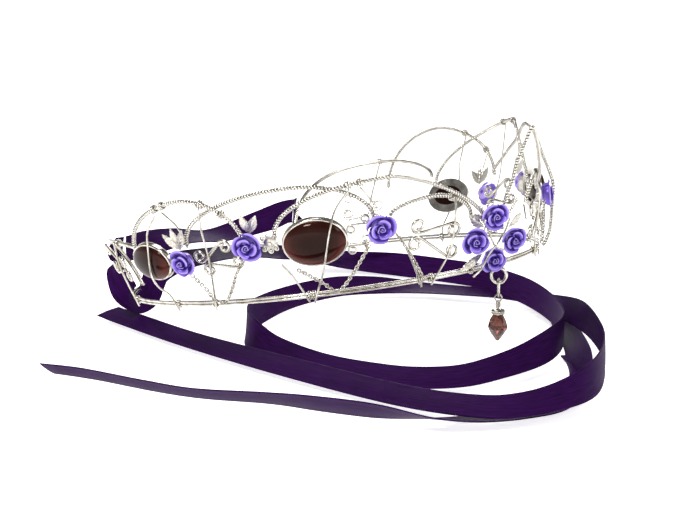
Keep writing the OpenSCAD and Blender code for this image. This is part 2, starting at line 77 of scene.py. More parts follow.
# left foot angle and height, crest angle and height, right foot angle and height, fullness of the left and
# the right shoulder, layer of the band
ARCHES = {
    "arch_right_back": (100, 19, 78.5, 36.4, 66, 21, 1.7, 1.9, 0),
    "arch_right_middle": (82, 20, 54, 36.2, 35.8, 22, 1.9, 2, -1),
    "arch_right_front": (58.5, 21, 32, 36.4, 7, 17, 2.1, 1.3, 0),
    "arch_right_small": (32, 23, 21.5, 27.2, 10.5, 18, 1.8, 1.8, -1),
    "arch_left_small": (-32, 23, -22, 27.2, -13, 18.5, 1.8, 1.8, -1),
    "arch_left_middle": (-100.5, 22, -68, 45, -43, 19, 1.75, 1.6, -1),
    "arch_left_back": (-116, 22, -101, 44.2, -79.5, 24, 2, 1.5, 0),
    "end_frame_right": (143.5, 1, 122, 21.8, 102, 20, 2.4, 2, -1),
    "end_frame_left": (-146, 1, -118, 32.5, -102, 24, 2.4, 2, -1),
}
# angle, height and distance out; the outer one passes in front of the left front stone
FREE_ARCHES = {
    "arch_left_outer": [
        (-82.2, 25.2, 1.9), (-80.2, 28.4, 1.9), (-77.3, 31.6, 1.9), (-75.2, 34, 1.9), (-71.9, 36.5, 1.9),
        (-67.6, 40, 1.9), (-63.7, 42.9, 1.8), (-57, 43.9, 1.6), (-50, 43.7, 1.2), (-43, 43, 0.9),
        (-40.2, 40.9, 1.2), (-40.6, 36.6, 2.7), (-42, 31.5, 4.4), (-43.6, 26.5, 6.4), (-43.7, 20.8, 7.6),
        (-42.4, 12.1, 6.2), (-41.8, 3.9, 4.6), (-41.6, -1.2, 1.9),
    ],
    "arch_left_front": [
        (0.8, 12.6, 0.7), (1.5, 16, 0.8), (1.7, 19.6, 0.9), (1.4, 24.3, 0.9), (0.2, 28.5, 0.9), (0, 32, 0.9),
        (-0.4, 35.4, 0.9), (-1.6, 39.2, 0.9), (-2.4, 41.6, 0.9), (-3.1, 44.2, 0.9), (-4.4, 45.4, 0.9),
        (-7.2, 41.8, 0.6), (-11.6, 37.2, 0.2), (-16.3, 32.6, 0), (-24.6, 27.4, 0), (-33.6, 23.6, 0),
        (-38.4, 22.2, 0),
    ],
}
# angle, height, length and height of the oval
STONES = {
    "right_front": (49.6, 19.3, 20.4, 15.8),
    "right_back": (92.4, 17.2, 18, 13),
    "left_front": (-52, 19.6, 20.4, 15.8),
    "left_back": (-97.5, 17, 18, 13),
}
# angle, height, turn, size
ROSES = {
    "rose_front_top": (6.9, 19.3, 20, 0.94),
    "rose_front_right": (12, 12.1, 75, 0.94),
    "rose_front_left": (-1.1, 9.7, 130, 0.94),
    "rose_front_bottom": (5.3, 4.3, 200, 0.9),
    "rose_right_front": (35.4, 21.9, 0, 1),
    "rose_right_middle": (64, 21.2, 40, 1),
    "rose_right_back": (81.2, 17.4, 95, 0.96),
    "rose_left_front": (-38.5, 18.4, 60, 1),
    "rose_left_middle": (-67, 21.2, 10, 1),
    "rose_left_back": (-85.3, 17.6, 150, 0.96),
}
# angle and height of the apex, turn, size, below 0 for a mirrored pair
SCROLLS = {
    "scrolls_right_front": (24.5, 15.6, 0, 1),
    "scrolls_right_back": (76.2, 15.6, 30, 0.85),
    "scrolls_right_end": (114, 13, 180, 0.9),
    "scrolls_left_front": (-25.7, 15.6, 0, -1),
    "scrolls_left_back": (-79, 15.6, 30, -0.85),
    "scrolls_left_end": (-121.5, 13, 180, -0.9),
}
# the usual distance out, and the places that both halves' chains pass
CHAIN_OUT = 2.2
CHAIN_BACK = [(81.3, 11.6), (78.6, 6.2), (77.7, 3), (75.3, 1.6), (73.7, 2.7)]
CHAIN_MIDDLE = [(54.2, 10.4), (49.3, 5.3), (46.1, 1.9), (42.3, 6.7)]
CHAIN_FRONT = [(30.7, 16.7), (27.8, 9.6), (25.2, 2.9)]
# side, then angle and height of the places passed, and the distance out where it isn't the usual one
CHAINS = {
    "chain_right_back": (1, CHAIN_BACK + [(71.5, 6.4), (69, 11.7), (66.8, 15)]),
    "chain_right_middle": (1, CHAIN_MIDDLE + [(37.9, 15.6)]),
    "chain_right_front": (1, CHAIN_FRONT),
    "chain_left_back": (-1, CHAIN_BACK + [(71.5, 6.4, 2.8), (69, 11.7, 4), (66.9, 14.4, 4)]),
    "chain_left_middle": (-1, CHAIN_MIDDLE + [(38.4, 11.6)]),
    "chain_left_front": (-1, CHAIN_FRONT),
}
# angle, height and distance out; the last two of the right half cross in front of the front flowers
LACES = {
    "lacing_right": [
        [
            (85.8, 32.6, 1.3), (88.7, 28.2, 3.2), (89.4, 22.8, 5.2), (91.3, 14.6, 6), (93, 8.8, 3.8),
            (92.6, 4.4, 1.4), (92, -1.6, 0.9),
        ],
        [(83.4, 33.8, 1.3), (80.9, 29.6, 1.6), (80, 27.2, 2)],
        [(73.6, 34, 1.3), (74.8, 26.8, 1.2), (75.6, 17, 1), (76.7, 9.7, 0.9), (78.9, -1.6, 0.9)],
        [(68.4, 32, 1.3), (66.3, 26.5, 1.3)],
        [(58.2, 12.8, 1.2), (55.8, 7, 0.9), (53.2, -1.6, 0.9)],
        [
            (41.1, 34.6, 1.3), (44.4, 29.6, 3.4), (46, 24.5, 6), (47.6, 16, 6.2), (48.9, 9.2, 4.2),
            (50.4, 4, 3.3), (52, -1.6, 0.9),
        ],
        [(38.8, 34.8, 1.3), (35.6, 27.8, 2)],
        [(31.6, 18.4, 1), (28.3, 10.4, 0.9), (24.7, -1.6, 0.9)],
        [
            (16.4, 25.7, -0.6), (16.6, 23.6, 0.8), (16.9, 21, 1.5), (17.2, 12.6, 1.8), (18.2, 7, 1.3),
            (22, -1.6, 0.9),
        ],
        [(112, 22.6, -0.4), (114.5, 13, 1), (117, -1.6, 0.9)],
        [(10.8, 18.8, 3), (10.6, 17.3, 5.5), (10.3, 15.9, 7.4), (7.9, 10.7, 7.6), (4.4, 8.5, 7.5)],
        [
            (0.7, 17, 3), (3.6, 14.7, 5.5), (5.9, 13.2, 7), (8, 11.9, 8.6), (9.1, 8.6, 7.5), (9.7, 3, 5.5),
            (9.2, -1.6, 1.4),
        ],
    ],
    "lacing_left": [
        [
            (-93, 40.8, 1.2), (-95, 30, 2.6), (-96, 23, 5.2), (-97.5, 15, 6), (-98.5, 8.8, 3.8),
            (-98.6, 4.4, 1.4), (-98, -1.6, 0.9),
        ],
        [(-84.6, 33.4, 1.2), (-85.6, 29.4, 1.6), (-86.4, 26.8, 2)],
        [
            (-75.5, 44.2, -0.5), (-76.6, 34, 0.3), (-77.6, 24, 1), (-79, 16, 1), (-80.4, 9.7, 0.9),
            (-82.8, -1.6, 0.9),
        ],
        [(-66, 44.3, -0.5), (-66.4, 36, 1), (-66.8, 29.4, 2)],
        [(-61, 12.8, 1.4), (-58.6, 7, 1.1), (-55.9, -1.6, 1.3)],
        [(-33.2, 18.4, 1), (-29.7, 10.4, 1), (-25.9, -1.6, 1.3)],
        [
            (-17.2, 25.5, -0.6), (-17.4, 23.6, 0.8), (-17.8, 21, 1.5), (-18.1, 12.6, 1.8), (-19.1, 7, 1.3),
            (-23.1, -1.6, 0.9),
        ],
        [(-118, 33.6, -0.4), (-122.6, 13, 1), (-124, -1.6, 0.9)],
    ],
}
# angle, height, length, width, turn
FRONT_LEAVES = [
    (7.4, 15.2, 10, 4.4, 150), (7.2, 5.6, 10.4, 3.4, 205), (2.6, 5.4, 9.4, 3.2, 320), (-1.5, 13, 7.5, 3, 35),
]
# x, y, z in millimetres and the lean of the width from level in degrees
RIBBONS = {
    "ribbon_right": [
        (-49, 64.8, 5, 90), (-50.8, 65, 4.8, 90), (-53, 64.4, 0, 90), (-52, 61.6, -8.5, 84),
        (-49.6, 60.6, -13, 72), (-45, 61.6, -15.3, 62), (-38.6, 62.8, -14.2, 60), (-35.4, 63.6, -10, 56),
        (-31, 64.6, -6.2, 48), (-17, 67, -4.8, 34), (10, 73, -7.4, 22), (27, 75.5, -9.8, 24),
        (44, 75, -13, 28), (58.9, 71, -15.3, 27), (63.8, 53.2, -16.2, 35), (73, 32, -16.4, 60),
        (77, 4, -15.8, 60), (77, -10, -15.4, 62), (73, -25, -15.2, 66), (66, -40, -14.6, 72),
        (56, -56, -14.4, 80), (44, -71, -14.6, 86), (32, -81, -14.8, 92), (18, -87, -15.2, 110),
        (3, -88.5, -16.6, 135), (-12, -86.5, -17.8, 148), (-25, -81.5, -19.1, 150), (-36, -73, -19.2, 150),
        (-43, -61, -19.2, 150), (-48, -38, -19.2, 149), (-47, -14, -18.6, 142), (-43, 0, -17.6, 125),
        (-35, 12, -16.9, 95), (-24, 20, -17, 70), (-11, 27, -17.9, 50), (4, 32, -18.5, 42),
        (20, 33, -18.6, 40), (35, 30, -18.6, 38), (48, 22, -19.2, 30), (58, 10, -20, 14), (66, -6, -20, 8),
        (72, -24, -19.4, 8), (71, -42, -18.2, 16), (63, -60, -16.6, 42), (51, -77, -15.2, 75),
        (37, -92, -14.8, 86), (22, -105, -14.8, 90), (6, -115, -15.6, 100), (-10, -121, -16.4, 120),
        (-26, -122, -16.8, 142), (-41, -118, -17.2, 150), (-51, -108, -17.6, 152),
        (-54.2, -78.4, -19.7, 156), (-56.3, -30.2, -19.8, 158), (-54.6, 19.7, -20.5, 166),
        (-50.5, 60.9, -20.7, 168), (-48.6, 75.1, -20.8, 170),
    ],
    "ribbon_left": [
        (46.9, 68.2, 5.6, 90), (49.4, 69.4, 5.6, 90), (54, 74, 3.6, 92), (60, 81, -4, 100),
        (66, 78, -14, 130), (72, 68, -20.6, 165), (82, 48, -21.3, 176), (90, 24, -21.3, 177),
        (93, 0, -21.3, 177), (88, -24, -21.3, 177), (74, -48, -21.3, 177), (55, -66, -21.3, 177),
        (36, -84, -21.3, 176), (20, -96, -20.8, 160), (5, -103, -18.6, 130), (-9, -112, -20.6, 30),
        (-25, -119, -21.3, 3), (-41, -116, -21.3, 3), (-55, -108, -21.1, 7), (-65.5, -100, -20, 20),
        (-75.6, -87.2, -18.2, 44), (-82.6, -70.1, -18.1, 46), (-88.6, -52.7, -18.6, 39),
        (-99.6, -33.1, -18.8, 36), (-105.4, -16, -18.6, 38), (-110.7, 9.1, -18.6, 38),
        (-115.8, 24.6, -18.8, 35),
    ],
    "ribbon_back": [
        (-46.9, 65.1, 5, 90), (-43, 65.6, 5, 88), (-33, 67, 5, 60), (-14, 70, 4, 30), (6, 72, 0.8, 22),
        (30, 71, 3, 50), (42, 68.8, 5.6, 88), (46.3, 68.2, 5.6, 90),
    ],
}
# the pendant's axis in millimetres, and its turn to face the viewer
HANG = np.array((0.6, -75.4, 13.3))
HANG_TURN = math.radians(-45)


def linear(code):
    """An sRGB hex colour as linear RGB with alpha 1: c/12.92 below 0.04045, else ((c + 0.055)/1.055)^2.4."""
    c = np.array([int(code[i : i + 2], 16) for i in (1, 3, 5)]) / 255
    c = np.where(c <= 0.04045, c / 12.92, ((c + 0.055) / 1.055) ** 2.4)
    return (*c.tolist(), 1.0)


# Geometry


def unit(v):
    """Vectors of length 1."""
    return v / np.linalg.norm(v, axis=-1, keepdims=True)


def tip(v):
    """Vectors turned back by the pitch about X: y' = y cos p + z sin p, z' = z cos p - y sin p."""
    x, y, z = np.moveaxis(np.asarray(v, float), -1, 0)
    c, s = math.cos(PITCH), math.sin(PITCH)
    return np.stack([x, y * c + z * s, z * c - y * s], -1)


def flare_at(t):
    """The band's lean at an angle in degrees: flare (1 - upright cos^2(90 q)).

    q is the way from the middle of the upright part as a share of its reach to each side.
    """
    q = np.clip((np.asarray(t, float) - UPRIGHT_AT) / UPRIGHT_WIDTH, -1, 1)
    return FLARE * (1 - UPRIGHT * np.cos(math.pi / 2 * q) ** 2)


def band(places):
    """Places (angle, height, out) as points in metres: (-r sin t, -r cos t, h - out sin slope), tipped."""
    t, h, out = np.moveaxis(np.asarray(places, float), -1, 0)
    flare = flare_at(t)
    slope = np.arctan(flare)
    t = np.radians(t)
    r = BASE_R + flare * h + out * np.cos(slope)
    return MM * tip(np.stack([-r * np.sin(t), -r * np.cos(t), h - out * np.sin(slope)], -1))


def outward(points):
    """The band's outward normal beside each point, from the point's angle round the untipped axis."""
    x, y, z = np.moveaxis(np.asarray(points), -1, 0)
    t = np.arctan2(-x, -(y * math.cos(PITCH) - z * math.sin(PITCH)))
    slope = np.arctan(flare_at(np.degrees(t)))
    return tip(np.stack([-np.cos(slope) * np.sin(t), -np.cos(slope) * np.cos(t), -np.sin(slope)], -1))


def laid(points, t, h, out=0.0):
    """Flat millimetre points laid on the band: their x runs level, y up the band and z along its normal."""
    a = math.radians(t)
    slope = math.atan(flare_at(t))
    s, c = math.sin(slope), math.cos(slope)
    axes = np.array(
        [
            (math.cos(a), -math.sin(a), 0),
            (-s * math.sin(a), -s * math.cos(a), c),
            (-c * math.sin(a), -c * math.cos(a), -s),
        ]
    )
    return band((t, h, out)) + MM * tip(np.asarray(points, float) @ axes)


def on_band(form, t, h, out):
    """A form, its millimetre points first, laid on the band."""
    v, *rest = form
    return laid(v, t, h, out), *rest


def on_side(t, side):
    """An angle of the right half (side 1), or its place on the left half (side -1)."""
    return t if side > 0 else -SPREAD * t


def hung(points):
    """Points in millimetres beside the pendant's axis, turned to face the viewer, as points in metres."""
    x, y, z = np.moveaxis(np.asarray(points, float), -1, 0)
    c, s = math.cos(HANG_TURN), math.sin(HANG_TURN)
    return MM * (HANG + np.stack([x * c - y * s, x * s + y * c, z], -1))


def smooth(points, steps=12):
    """A curve through all points: (2b + (c-a)s + (2a-5b+4c-d)s^2 + (3b-a-3c+d)s^3) / 2 between b and c."""
    p = np.asarray(points, float)
    q = np.vstack([p[:1], p, p[-1:]])
    a, b, c, d = q[:-3, None], q[1:-2, None], q[2:-1, None], q[3:, None]
    s = (np.arange(steps) / steps)[:, None]
    body = 0.5 * (2 * b + (c - a) * s + (2 * a - 5 * b + 4 * c - d) * s**2 + (3 * b - a - 3 * c + d) * s**3)
    return np.vstack([body.reshape(-1, p.shape[1]), p[-1:]])


def distance_along(path):
    """The length of the path up to each of its points."""
    return np.concatenate([[0], np.cumsum(np.linalg.norm(np.diff(path, axis=0), axis=1))])


def evenly(path, step):
    """The same path with points about one step apart."""
    s = distance_along(path[:, :3])
    at = np.linspace(0, s[-1], max(3, int(round(s[-1] / step)) + 1))
    return np.stack([np.interp(at, s, path[:, k]) for k in range(path.shape[1])], -1)


def arch_path(row):
    """Two shoulders: h = foot + (crest - foot)(1 - s^n)^(1/n), with s the share of the way to the foot."""
    lt, lh, ct, ch, rt, rh, ln, rn, layer = row
    s = np.sin(np.linspace(0, math.pi / 2, 80))
    left, right = (
        np.stack([ct + (t - ct) * s, h + (ch - h) * (1 - s**n) ** (1 / n)], -1)
        for t, h, n in ((lt, lh, ln), (rt, rh, rn))
    )
    flat = np.vstack([left[:0:-1], right])
    return band(np.column_stack([flat, np.full(len(flat), layer * LAYER)]))


def arch_routes():
    """The routes of all arches and end frames, by name."""
    routes = {name: arch_path(row) for name, row in ARCHES.items()}
    routes.update({name: band(smooth(row)) for name, row in FREE_ARCHES.items()})
    return routes


def frames(path, ref, closed=False):
    """Along, side and up vectors of a path: side is ref less its part along the path, up = along x side."""
    step = np.roll(path, -1, 0) - np.roll(path, 1, 0) if closed else np.gradient(path, axis=0)
    along = unit(step)
    ref = np.broadcast_to(ref, path.shape)
    side = unit(ref - (ref * along).sum(-1, keepdims=True) * along)
    return along, side, np.cross(along, side)


def grid_faces(rows, cols, wrap_rows=False, wrap_cols=False):
    """The quads of a grid of points, numbered row by row."""
    i = np.arange(rows if wrap_rows else rows - 1)[:, None]
    j = np.arange(cols if wrap_cols else cols - 1)[None]
    k, m = (i + 1) % rows, (j + 1) % cols
    return np.stack([i * cols + j, i * cols + m, k * cols + m, k * cols + j], -1).reshape(-1, 4)


def end_fans(count, sides):
    """Triangles that close both ends of a form of count points in rings, as quads whose last number is -1.

    The middle of the first ring is point count, and that of the last ring is point count + 1.
    """
    ring, none = np.arange(sides), np.full(sides, -1)
    rims = ((ring[::-1], count), (ring + count - sides, count + 1))
    return [np.column_stack([np.full(sides, middle), rim, np.roll(rim, -1), none]) for rim, middle in rims]


def tube(path, ref, radius, sides=8, closed=False):
    """A round wire: path + r (cos a side + sin a up), with a point at the middle of each end."""
    _, side, up = frames(path, ref, closed)
    a = 2 * math.pi * (np.arange(sides) + 0.5) / sides
    r = np.broadcast_to(radius, (len(path),))[:, None, None]
    v = path[:, None] + r * (np.cos(a)[:, None] * side[:, None] + np.sin(a)[:, None] * up[:, None])
    v = v.reshape(-1, 3)
    f = grid_faces(len(path), sides, wrap_rows=closed, wrap_cols=True)
    if closed:
        return v, f
    return np.vstack([v, path[:1], path[-1:]]), np.vstack([f, *end_fans(len(v), sides)])


def twisted(path, ref, width, lay, sides=8):
    """Two strands wound round a path: strand k is at width/4 from it, at angle 2 pi s / lay + k pi.

    The strands are a little fuller than that, so that they meet. The second texture coordinate is 0 in the
    groove between them and 1 on the outside.
    """
    _, side, up = frames(path, ref)
    turn = 2 * math.pi * distance_along(path) / lay
    a = 2 * math.pi * (np.arange(sides) + 0.5) / sides
    depth = np.append(np.tile((1 + np.cos(a)) / 2, len(path)), (0.5, 0.5))
    uv = np.column_stack([np.zeros(len(depth)), depth])
    out = []
    for start in (0, math.pi):
        spoke = np.cos(turn + start)[:, None] * side + np.sin(turn + start)[:, None] * up
        out.append((*tube(path + spoke * width / 4, spoke, width / 4 * STRAND_FULL, sides), uv))
    return out


def coil(centre, along, side, reach, turns, pitch, wire, sides=6):
    """A fine wire wound round an axis: centre + p cos a side + q sin a up + pitch a / 2 pi along.

    reach is (p, q), the pitch is given in thicknesses of the wire, and the winding is centred on its middle.
    """
    a = np.linspace(0, 2 * math.pi * turns, int(COIL_STEPS * turns) + 1)[:, None]
    up = np.cross(along, side)
    shift = pitch * wire * (a / (2 * math.pi) - turns / 2)
    path = centre + reach[0] * np.cos(a) * side + reach[1] * np.sin(a) * up + shift * along
    return tube(path, unit(np.broadcast_to(along, path.shape)), wire / 2, sides)


def shell(points, thick, uv=None):
    """A closed sheet: each point of a grid moved half the thickness to both sides along the normal."""
    du, dv = np.gradient(points, axis=0), np.gradient(points, axis=1)
    n = np.cross(du, dv)
    # where the grid shrinks to a point, the normal is left at 0
    n = n / np.maximum(np.linalg.norm(n, axis=-1, keepdims=True), 1e-15)
    half = n * (np.broadcast_to(thick, points.shape[:2])[..., None] / 2)
    rows, cols = points.shape[:2]
    count = rows * cols
    v = np.concatenate([(points - half).reshape(-1, 3), (points + half).reshape(-1, 3)])
    f = grid_faces(rows, cols)
    ids = np.arange(count).reshape(rows, cols)
    edge = np.concatenate([ids[0], ids[1:, -1], ids[-1, -2::-1], ids[-2:0:-1, 0]])
    after = np.roll(edge, -1)
    wall = np.stack([after, edge, edge + count, after + count], -1)
    faces = np.vstack([f, f[:, ::-1] + count, wall])
    form = outside_out(v, faces)
    return form if uv is None else (*form, np.tile(uv.reshape(-1, 2), (2, 1)))


def turned_form(profile, sides, half_l=1.0, half_h=1.0):
    """A profile of (share, height) carried round an oval: (l share cos a, h share sin a, height).

    Both ends are closed. Where l and h are 1, the shares are radii.
    """
    p = np.asarray(profile, float)
    a = 2 * math.pi * np.arange(sides) / sides
    share, z = p[:, :1], np.broadcast_to(p[:, 1:2], (len(p), sides))
    v = np.stack([half_l * share * np.cos(a), half_h * share * np.sin(a), z], -1).reshape(-1, 3)
    f = np.vstack([grid_faces(len(p), sides, wrap_cols=True), *end_fans(len(v), sides)])
    uv = np.column_stack([np.tile(a / 2 / math.pi, len(p)), np.repeat(p[:, 0], sides)])
    v = np.vstack([v, (0, 0, p[0, 1]), (0, 0, p[-1, 1])])
    return (*outside_out(v, f), np.vstack([uv, (0, 0), (0, 0)]))


def outside_out(v, faces):
    """Turns all faces round if the volume that they close, the sum of a . (b x c) / 6, is below 0."""
    four = faces[:, 3] >= 0
    tri = np.vstack([faces[:, :3], faces[four][:, [0, 2, 3]]])
    a, b, c = (v[tri[:, k]] - v.mean(0) for k in range(3))
    if (a * np.cross(b, c)).sum() >= 0:
        return v, faces
    turned_round = faces.copy()
    turned_round[four] = faces[four][:, ::-1]
    turned_round[~four, :3] = faces[~four][:, [0, 2, 1]]
    return v, turned_round


def piece(node, form, parts, material, body="crown", sharp=None):
    """One object that stands for a node: the parts' points in one list, with their faces renumbered.

    A part is (points, faces) or (points, faces, texture coordinates). The object is smooth, apart from edges
    past the sharp angle, and at an angle of 0 every face is flat.
    """
    name = f"{node}_{form}"
    starts = np.cumsum([0] + [len(part[0]) for part in parts])
    v = np.vstack([part[0] for part in parts])
    f = np.vstack([np.where(part[1] >= 0, part[1] + start, -1) for part, start in zip(parts, starts)])
    uv = np.vstack([part[2] if len(part) > 2 else np.zeros((len(part[0]), 2)) for part in parts])
    used = f >= 0
    loops = f[used]
    total = used.sum(1)
    me = bpy.data.meshes.new(name)
    me.vertices.add(len(v))
    me.vertices.foreach_set("co", v.astype(np.float32).ravel())
    me.loops.add(len(loops))
    me.loops.foreach_set("vertex_index", loops.astype(np.int32))
    me.polygons.add(len(f))
    me.polygons.foreach_set("loop_start", (np.cumsum(total) - total).astype(np.int32))
    me.polygons.foreach_set("loop_total", total.astype(np.int32))
    me.polygons.foreach_set("use_smooth", np.full(len(f), sharp != 0))
    me.uv_layers.new(name="UVMap").data.foreach_set("uv", uv[loops].astype(np.float32).ravel())
    me.update(calc_edges=True)
    me.validate()
    if sharp:
        me.set_sharp_from_angle(angle=math.radians(sharp))
    me.materials.append(material)
    o = bpy.data.objects.new(name, me)
    bpy.context.scene.collection.objects.link(o)
    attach(o, body)
    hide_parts(node)
    return o


# Materials


def add_node(tree, kind, inputs=None, stops=(), **options):
    """Adds one node with its settings, its links and, for a colour ramp, its stops of (place, colour).

    Each input is a value, another node's output, or a node, which stands for its first output. A colour is an
    sRGB hex code or linear RGB.
    """
    node = tree.nodes.new(kind)
    for key, value in options.items():
        setattr(node, key, value)
    for key, value in (inputs or {}).items():
        if isinstance(value, bpy.types.Node):
            value = value.outputs[0]
        if isinstance(value, bpy.types.NodeSocket):
            tree.links.new(value, node.inputs[key])
        else:
            node.inputs[key].default_value = value
    if stops:
        row = node.color_ramp.elements
        while len(row) < len(stops):
            row.new(0.5)
        for element, (at, colour) in zip(row, stops):
            element.position = at
            element.color = linear(colour) if isinstance(colour, str) else (*colour, 1)
    return node


def new_material(name, **sockets):
    """A Principled material with its sockets set: (material, tree, shader, texture coordinates).

    The last three are None if the material has been made before.
    """
    if name in bpy.data.materials:
        return bpy.data.materials[name], None, None, None
    m = bpy.data.materials.new(name)
    m.use_nodes = True
    tree = m.node_tree
    tree.nodes.clear()
    values = {key.replace("_", " "): value for key, value in sockets.items()}
    shader = add_node(tree, "ShaderNodeBsdfPrincipled", values)
    add_node(tree, "ShaderNodeOutputMaterial", {"Surface": shader})
    return m, tree, shader, add_node(tree, "ShaderNodeTexCoord").outputs


def dress(tree, shader, share, stops, height=None, bump=None, rough=None):
    """Gives the shader a ramp of colours and, from a height between 0 and 1, a bump and a roughness.

    The bump is (strength, depth in metres) and the roughness goes from the first number to the second.
    """
    looks = {"Base Color": add_node(tree, "ShaderNodeValToRGB", {"Fac": share}, stops)}
    if bump:
        values = {"Height": height, "Strength": bump[0], "Distance": bump[1]}
        looks["Normal"] = add_node(tree, "ShaderNodeBump", values)
    if rough:
        values = {"Value": height, "To Min": rough[0], "To Max": rough[1]}
        looks["Roughness"] = add_node(tree, "ShaderNodeMapRange", values)
    for key, node in looks.items():
        tree.links.new(node.outputs[0], shader.inputs[key])


def silver_wire(strands=False):
    """Silver-plated copper craft wire, drawn and lightly handled: bright, warm white, faintly marked."""
    name = "silver_plated_twisted_wire" if strands else "silver_plated_drawn_wire"
    m, tree, shader, spot = new_material(name, Metallic=1.0)
    if tree is None:
        return m
    look = settings()
    # handling leaves patches of thin tarnish about 4 mm long
    values = {"Vector": spot["Object"], "Scale": 260.0, "Detail": 3.0}
    share = add_node(tree, "ShaderNodeTexNoise", values)
    stops = [(0.38, look.silver_colour), (0.72, look.tarnish_and_shade_colour)]
    if strands:
        # the groove between two strands is painted dark: painted shade where the strands hide it, over some
        # tarnish
        depth = add_node(tree, "ShaderNodeSeparateXYZ", {"Vector": spot["UV"]}).outputs["Y"]
        uneven = add_node(tree, "ShaderNodeMapRange", {"Value": share, "To Min": 0.12, "To Max": -0.12})
        share = add_node(tree, "ShaderNodeMath", {0: depth, 1: uneven}, operation="ADD")
        # painted shade: near black deep in the groove, the tarnish colour part way out, bright silver on the
        # outside
        stops = [(0.1, "#39332c"), (0.5, look.tarnish_and_shade_colour), (0.8, look.silver_colour)]
    # draw marks are about 0.3 mm long here, so that they show at all
    values = {"Vector": spot["Object"], "Scale": 3200.0, "Detail": 2.0}
    marks = add_node(tree, "ShaderNodeTexNoise", values)
    dress(tree, shader, share, stops, marks, bump=(0.12, 0.00004), rough=(0.1, 0.3))
    return m


def stamped_silver():
    """Silver-plated stamped brass, as in florets and leaves: duller than wire, dark in its hollows."""
    m, tree, shader, spot = new_material("silver_plated_stamped_brass", Metallic=1.0)
    if tree is None:
        return m
    # the die leaves hollows about 0.7 mm apart
    values = {"Vector": spot["Object"], "Scale": 1500.0, "Detail": 3.0}
    hollows = add_node(tree, "ShaderNodeTexNoise", values)
    stops = [(0.35, settings().silver_colour), (0.75, "#b3ada1")]
    dress(tree, shader, hollows, stops, hollows, bump=(0.3, 0.00008), rough=(0.18, 0.42))
    return m


def anodised_violet():
    """Anodised aluminium sheet pressed into petals: satin violet, with painted shade deep at the petals' base
    and a painted highlight at their lips.
    """
    m, tree, shader, spot = new_material(
        "anodised_aluminium_violet", Metallic=0.45, Coat_Weight=0.15, Coat_Roughness=0.25
    )
    if tree is None:
        return m
    across = add_node(tree, "ShaderNodeSeparateXYZ", {"Vector": spot["UV"]}).outputs["Y"]
    rose = settings().rose_colour
    # painted shade at the base of each petal and a painted highlight at its lip, by the share of the way up
    # the petal
    stops = [(0.1, "#3c267e"), (0.5, rose), (0.85, rose), (0.97, "#a792dc")]
    # rolled sheet grain about 0.25 mm
    values = {"Vector": spot["Object"], "Scale": 4000.0, "Detail": 2.0}
    grain = add_node(tree, "ShaderNodeTexNoise", values)
    dress(tree, shader, across, stops, grain, bump=(0.15, 0.00005), rough=(0.26, 0.46))
    return m


def dark_glass():
    """Pressed glass cabochon, fire polished: nearly black brown, with painted light through its thin rim and
    painted light from the paper on its lower part.
    """
    m, tree, shader, spot = new_material(
        "polished_dark_glass",
        Roughness=0.04,
        IOR=1.45,
        Specular_IOR_Level=0.2,
        Specular_Tint=linear("#f0d4cd"),
    )
    if tree is None:
        return m
    # the rim is painted redder, as light coming through the thin glass there
    rim = add_node(tree, "ShaderNodeSeparateXYZ", {"Vector": spot["UV"]}).outputs["Y"]
    # faint clouds in the glass, about 6 mm across
    values = {"Vector": spot["Object"], "Scale": 170.0, "Detail": 2.0}
    cloud = add_node(tree, "ShaderNodeTexNoise", values)
    cloud = add_node(tree, "ShaderNodeMapRange", {"Value": cloud, "To Min": -0.12, "To Max": 0.12})
    # light from the paper comes through the lower part of the dome
    facing = add_node(tree, "ShaderNodeNewGeometry").outputs["Normal"]
    low = add_node(tree, "ShaderNodeSeparateXYZ", {"Vector": facing}).outputs["Z"]
    values = {"Value": low, "From Min": -0.8, "From Max": 0.3, "To Min": 0.3, "To Max": -0.2}
    low = add_node(tree, "ShaderNodeMapRange", values)
    share = add_node(tree, "ShaderNodeMath", {0: rim, 1: cloud}, operation="ADD")
    share = add_node(tree, "ShaderNodeMath", {0: share, 1: low}, operation="ADD")
    dress(tree, shader, share, [(0.4, settings().stone_colour), (0.75, "#28100d"), (1.0, "#4a221d")])
    return m


def brown_crystal():
    """Machine-cut lead glass in a smoky brown: clear, sharp facets, an orange glow near the point."""
    m, tree, shader, spot = new_material(
        "cut_brown_glass", Roughness=0.02, IOR=1.56, Transmission_Weight=0.75
    )
    if tree is None:
        return m
    z = add_node(tree, "ShaderNodeSeparateXYZ", {"Vector": spot["Object"]}).outputs["Z"]
    # from the drop's point to its shoulder, in metres
    values = {"Value": z, "From Min": -0.0136, "From Max": -0.0042}
    share = add_node(tree, "ShaderNodeMapRange", values)
    dress(tree, shader, share, [(0.0, "#b5683c"), (0.22, "#7d4438"), (0.8, "#6a423a")])
    return m


